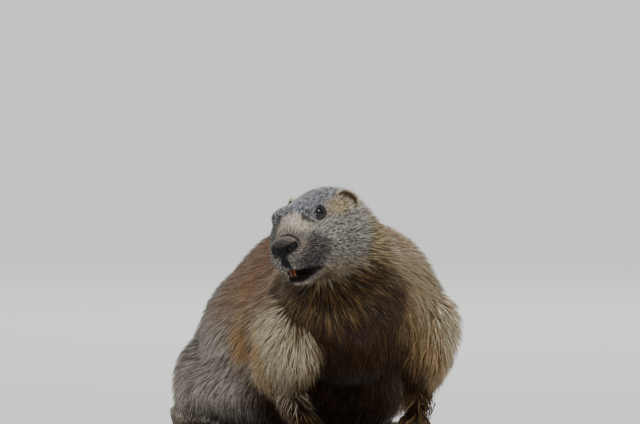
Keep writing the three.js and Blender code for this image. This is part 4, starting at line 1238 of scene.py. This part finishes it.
def blades(path, facing, width, thickness):
    """A closed three-sided blade round each path: two edges across, a ridge on top, a point at the tip."""
    count, rings = path.shape[0], path.shape[1] - 1
    along = unit(path[:, 1:] - path[:, :-1])
    across = unit(np.cross(facing[:, :-1], along))
    shares = np.arange(rings) / rings
    profile = (0.7 + 0.9 * shares - 1.1 * shares**2)[None, :, None]
    half = across * width[:, None, None] * profile / 2
    ridge = facing[:, :-1] * thickness[:, None, None] * profile
    body = np.stack([path[:, :-1] - half, path[:, :-1] + half, path[:, :-1] + ridge], 2).reshape(count, -1, 3)
    points = np.concatenate([body, path[:, -1:]], 1)
    pattern = [[0, 1, 2]]
    for ring in range(rings):
        for corner in range(3):
            a, b = 3 * ring + corner, 3 * ring + (corner + 1) % 3
            if ring < rings - 1:
                pattern += [[a, a + 3, b], [b, a + 3, b + 3]]
            else:
                pattern.append([a, 3 * rings, b])
    pattern = np.array(pattern)
    first = np.arange(count)[:, None, None] * (3 * rings + 1)
    points = points.reshape(-1, 3)
    points[:, 2] = np.maximum(points[:, 2], 0.15)
    return points, (pattern[None] + first).reshape(-1, 3)


def hair_colours(roots):
    """Each tuft's root and tip colour: by chance a pale tip, a dark one or the region's middle colour."""
    root, middle, pale, pale_share, dark_share = markings(roots)
    chance = rng.random(len(roots))
    shade = mix(*SHADES, rng.random(len(roots)))[:, None]
    tip = np.where((chance < pale_share)[:, None], pale, middle)
    tip = np.where((chance > 1 - dark_share)[:, None], mix(root, middle, 0.25), tip)
    return root * shade, tip * shade


def add_coat(name, roots, path, facing, width, ridge, unwrapped, slot):
    """One piece of coat, with its colours, and its unwrap with a small patch for each tuft."""
    root_colour, tip_colour = hair_colours(roots)
    points, faces = blades(path, facing, width, ridge * width)
    piece = make_piece(name, points, faces, COATS[slot], slot)
    rings = path.shape[1] - 1
    each = 3 * rings + 1
    along = np.append(np.repeat(np.arange(rings) / rings, 3), 1.0)
    add_colour(piece, "root_colour", np.repeat(root_colour, each, 0))
    add_colour(piece, "tip_colour", np.repeat(tip_colour, each, 0))
    add_value(piece, "along", np.tile(along, len(roots)))
    corner = np.append(np.tile([-0.5, 0.5, 0.0], rings), 0.0)
    patch = np.stack([corner, along - 0.5], -1) * PATCH
    add_bake_map(piece, (unwrapped[:, None] + patch[None]).reshape(-1, 2))
    print(f"{name}: {len(roots)} tufts, {len(faces)} triangles")
    return len(faces)


def unwrap(angle, along):
    """An unwrap of the skin: the angle round the body and the place along it, both inside the unit square."""
    u = 0.01 + 0.98 * (angle / (2 * math.pi) % 1)
    v = 0.01 + 0.98 * (along - along.min()) / max(np.ptp(along), 1)
    return np.stack([u, v], -1)


def laid_flat(zone, roots):
    """The unwrap of a zone: round the head, the legs, the tail or the trunk, and along it."""
    if zone in ("face", "cheek"):
        x, y, z = into_head(roots).T
        return unwrap(np.arctan2(x, z), y)
    x, y, z = roots.T
    if zone in ("leg", "foot"):
        return unwrap(np.arctan2(np.abs(x) - 66, y % 230 - 20), z + np.where(y > 120, 100, 0))
    if zone == "tail":
        return unwrap(np.arctan2(x - 8, z - 30), y)
    return unwrap(np.arctan2(x, z - 100), y)


# %% Coat pieces, region by region
HEAD_REACH = 82
RIDGE = 0.42
head_roots = into_head(roots)
depths = coat_depth(roots)
near_head = length_of(head_roots) < HEAD_REACH
on_left = np.where(near_head, head_roots[:, 0] > 0, roots[:, 0] > 0)
x, y, z = roots.T
zones = {
    "face": near_head & (depths < 6),
    "cheek": near_head,
    "tail": y > 335,
    "foot": (z < 34) & (near_leg(roots) > 0.5),
    "leg": (z < 84) & ((y < 70) | (np.abs(x) > 66)),
    "throat": (y < 40) & (z < 150) & (np.abs(x + 10) < 52),
    "neck": y < 40,
    "shoulder": y < 110,
    "flank": y < 215,
    "rump": y < 400,
}
settings = {
    "face": (0.03, "coat_head"),
    "cheek": (0.06, "coat_head"),
    "throat": (0.16, "coat_neck"),
    "neck": (0.16, "coat_neck"),
    "leg": (0.14, "coat_leg"),
    "foot": (0.04, "coat_foot"),
    "tail": (0.14, "coat_tail"),
}
free = np.ones(len(roots), bool)
coat_triangles = 0
for zone, chosen in zones.items():
    chosen = chosen & free
    free &= ~chosen
    lift, slot = settings.get(zone, (0.16, "coat_body"))
    for name, side in (("left", on_left), ("right", ~on_left)):
        some = roots[chosen & side]
        path, facing = grow(some, lift)
        width = tuft_width(coat_depth(some)) * mix(0.8, 1.2, rng.random(len(some)))
        flat = laid_flat(zone, some)
        coat_triangles += add_coat(f"coat_{zone}_{name}", some, path, facing, width, RIDGE, flat, slot)
print("coat:", coat_triangles, "triangles,", clock())

# %% [markdown]
# ## Short hair, whiskers and pads
# The ears and the top of the nose pad carry hair that is too short to be combed along the body's lie, so
# straight tufts are sown on them. Whiskers are stiff bristles in rows on the muzzle, made as thin tapered
# tubes along bent paths. The pads under the paws are bare; each is an ellipsoid, cut level where it meets
# the floor.

# %% Short hair on ears and nose
SHORT_HAIR = {
    "ear": dict(length=3.4, width=0.55, density=2.6),
    "nose": dict(length=1.3, width=0.3, density=6.0),
}
SHORT_RIDGE = 0.4


def short_coat(kind, name, points, faces, middle, way, chosen):
    """Straight tufts in the head's frame, each along the way and leant a third of it off the surface."""
    hair = SHORT_HAIR[kind]
    roots = scatter(points, faces, lambda p: hair["density"] * chosen(p))
    size = hair["length"] * mix(0.7, 1.25, rng.random(len(roots)))
    facing = unit(roots - middle)
    step = unit(unit(way(roots)) + 0.25 * rng.standard_normal(roots.shape) + 0.34 * facing) * size[:, None]
    path = np.stack([roots - 0.2 * facing + step * share for share in SHARES], 1)
    widths = hair["width"] * mix(0.8, 1.2, rng.random(len(roots)))
    flat = unwrap(np.arctan2(facing[:, 0], facing[:, 2]), facing[:, 1])
    out = on_head(middle + facing) - on_head(middle)
    out = np.repeat(out[:, None], len(SHARES), 1)
    add_coat(name, on_head(roots), on_head(path), out, widths, SHORT_RIDGE, flat, "coat_head")


def out_of_cup(side, p):
    """1 on the back and the rim of an ear, 0 in its cup."""
    local = in_ear(side, p)
    return 1 - smooth(local[:, 2], -0.3, 0.1) * (1 - smooth(length_of(local[:, :2]), 0.74, 0.9))


def over_ear(side, p):
    """The lie on an ear: from its middle to the rim, and a little out, back and up."""
    axes = ear_axes(side)
    return unit(in_ear(side, p)[:, :2]) @ axes[:2] + 0.5 * axes[2] + (0, 0.3, 0.2)


def on_velvet(p):
    """1 on the top of the nose pad."""
    return smooth(p[:, 2] - 0.35 * p[:, 1], 12.6, 14.6)


def over_nose(p):
    """The lie on the nose: back and half as much up, everywhere."""
    return 0 * p + (0, 1, 0.5)


for name, side in SIDES.items():
    middle = EAR_CENTRE * (side, 1, 1) - 3 * ear_axes(side)[2]
    way, chosen = partial(over_ear, side), partial(out_of_cup, side)
    short_coat("ear", f"coat_ear_{name}", *ear_parts[name], middle, way, chosen)
short_coat("nose", "coat_nose", nose_points, nose_faces, NOSE_MIDDLE, over_nose, on_velvet)

# %% Whiskers
WHISKERS = 11
for name, side in SIDES.items():
    strands = []
    for i in range(WHISKERS):
        row, share = i % 3, i / (WHISKERS - 1)
        root = np.array([12.5 + 2.5 * share, -41 + 9 * share, -12 - 5 * row]) * (side, 1, 1)
        t = np.linspace(0, 1, 12)[:, None]
        length = 17 + 12 * share + 2 * row
        away = unit(np.array([0.95 * side, -0.25 + 1.0 * share, 0.25 - 0.22 * row]))
        path = root + away * length * t + np.array([0, 0.2, -0.16]) * length * t**2
        strands.append(close_rings(tube(path, mix(0.17, 0.04, t[:, 0]), 5)))
    points, faces = join_parts(strands)
    make_piece(f"whiskers_{name}", on_head(points), facing_out(points, faces), LID, "coat_head")
print("whiskers:", WHISKERS, "a side")

# %% Pads under the paws


def pad(centre, radii, rows=14, columns=22):
    """A flat dome that just clears the floor: an ellipsoid, level below."""
    points, faces = close_rings(globe(rows, columns, 0.05)[1] * radii + centre)
    points[:, 2] = np.maximum(points[:, 2], FLOOR_GAP)
    return points, faces


for kind, paw in PAWS.items():
    for name, side in SIDES.items():
        heel = paw_place(kind, side)[0]
        pads = []
        for toe in range(paw["toes"]):
            start, _, tip, ahead = toe_line(kind, side, toe)
            pads.append(pad(np.array([*(tip - 2.5 * ahead)[:2], 2.6]), (3.4, 3.4, 2.6)))
            pads.append(pad(np.array([*mix(start, tip, 0.12)[:2], 2.8]), (4.2, 4.2, 2.8)))
        pads.append(pad(np.array([*heel[:2], 3.0]), (7.5, 8.5, 3.0)))
        points, faces = join_parts(pads)
        make_piece(f"pads_{kind}_{name}", points, facing_out(points, faces), PAD, "nose_skin")
print("pads on", 2 * len(PAWS), "paws")

# %% [markdown]
# ## Studio
# The photograph was taken with a long lens from a little above the ground, in front of the marmot and to
# its right. The camera stands there, nine metres away, with its lens worked out from the pixels that a
# millimetre takes. A high sun with a wide disc gives soft shadows, so that the chin shades the chest. One
# weak soft light fills in from the front, and another draws a bright rim from behind.

# %% Camera
AZIMUTH = math.radians(-18)
ELEVATION = math.radians(4)
DISTANCE = 9.0
SENSOR = 36.0
PIXELS_PER_MM = 1.1
IMAGE_SIZE = (640, 424)
ORIGIN_PIXEL = (362, 455)


def set_up(thing, place, way):
    """Puts a camera or a light in its place, looking along the way."""
    thing.location = Vector(place)
    thing.rotation_mode = "QUATERNION"
    thing.rotation_quaternion = Vector(way).to_track_quat("-Z", "Y")
    bpy.context.scene.collection.objects.link(thing)


back = np.array(
    [math.sin(AZIMUTH) * math.cos(ELEVATION), -math.cos(AZIMUTH) * math.cos(ELEVATION), math.sin(ELEVATION)]
)
right = np.array([math.cos(AZIMUTH), math.sin(AZIMUTH), 0])
up = np.cross(back, right)
origin = ORIGIN * MM
to_centre = [IMAGE_SIZE[0] / 2 - ORIGIN_PIXEL[0], ORIGIN_PIXEL[1] - IMAGE_SIZE[1] / 2]
target = origin + (right * to_centre[0] + up * to_centre[1]) / PIXELS_PER_MM * MM
place = origin + back * DISTANCE
camera = bpy.data.objects.new("camera", bpy.data.cameras.new("camera"))
set_up(camera, place, target - place)
camera.data.sensor_width = SENSOR
camera.data.lens = SENSOR * DISTANCE / MM / (IMAGE_SIZE[0] / PIXELS_PER_MM)
camera.data.clip_end = 400
bpy.context.scene.camera = camera
print("lens, mm:", round(camera.data.lens, 1))

# %% Floor and lights
FLOOR_SIZE = 160
bpy.ops.mesh.primitive_plane_add(size=FLOOR_SIZE, location=(0, 0, 0))
floor = bpy.context.active_object
floor.name = "floor"
floor_material, _, floor_shader = new_material("pale floor", 0.85, 0.2)
floor_shader.inputs["Base Color"].default_value = (0.7, 0.69, 0.67, 1)
floor.data.materials.append(floor_material)


def softbox(name, place, size, power, target=(0, 0, 0.15)):
    """A square soft light that looks at the marmot."""
    light = bpy.data.objects.new(name, bpy.data.lights.new(name, "AREA"))
    light.data.size = size
    light.data.energy = power
    set_up(light, place, Vector(target) - Vector(place))


softbox("front_fill", (-1.8, -2.6, 1.0), 1.6, 9)
softbox("rear_rim", (0.9, 2.2, 1.6), 1.2, 16)
sun = bpy.data.objects.new("overhead", bpy.data.lights.new("overhead", "SUN"))
sun.data.energy = 3.3
sun.data.angle = math.radians(16)
set_up(sun, (0, 0, 0), (-0.22, 0.3, -1))
world = bpy.data.worlds.new("studio")
world.use_nodes = True
background = world.node_tree.nodes["Background"]
background.inputs["Color"].default_value = (0.9, 0.94, 1.0, 1)
background.inputs["Strength"].default_value = 0.42
bpy.context.scene.world = world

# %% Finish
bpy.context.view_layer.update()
print("all made in", clock())
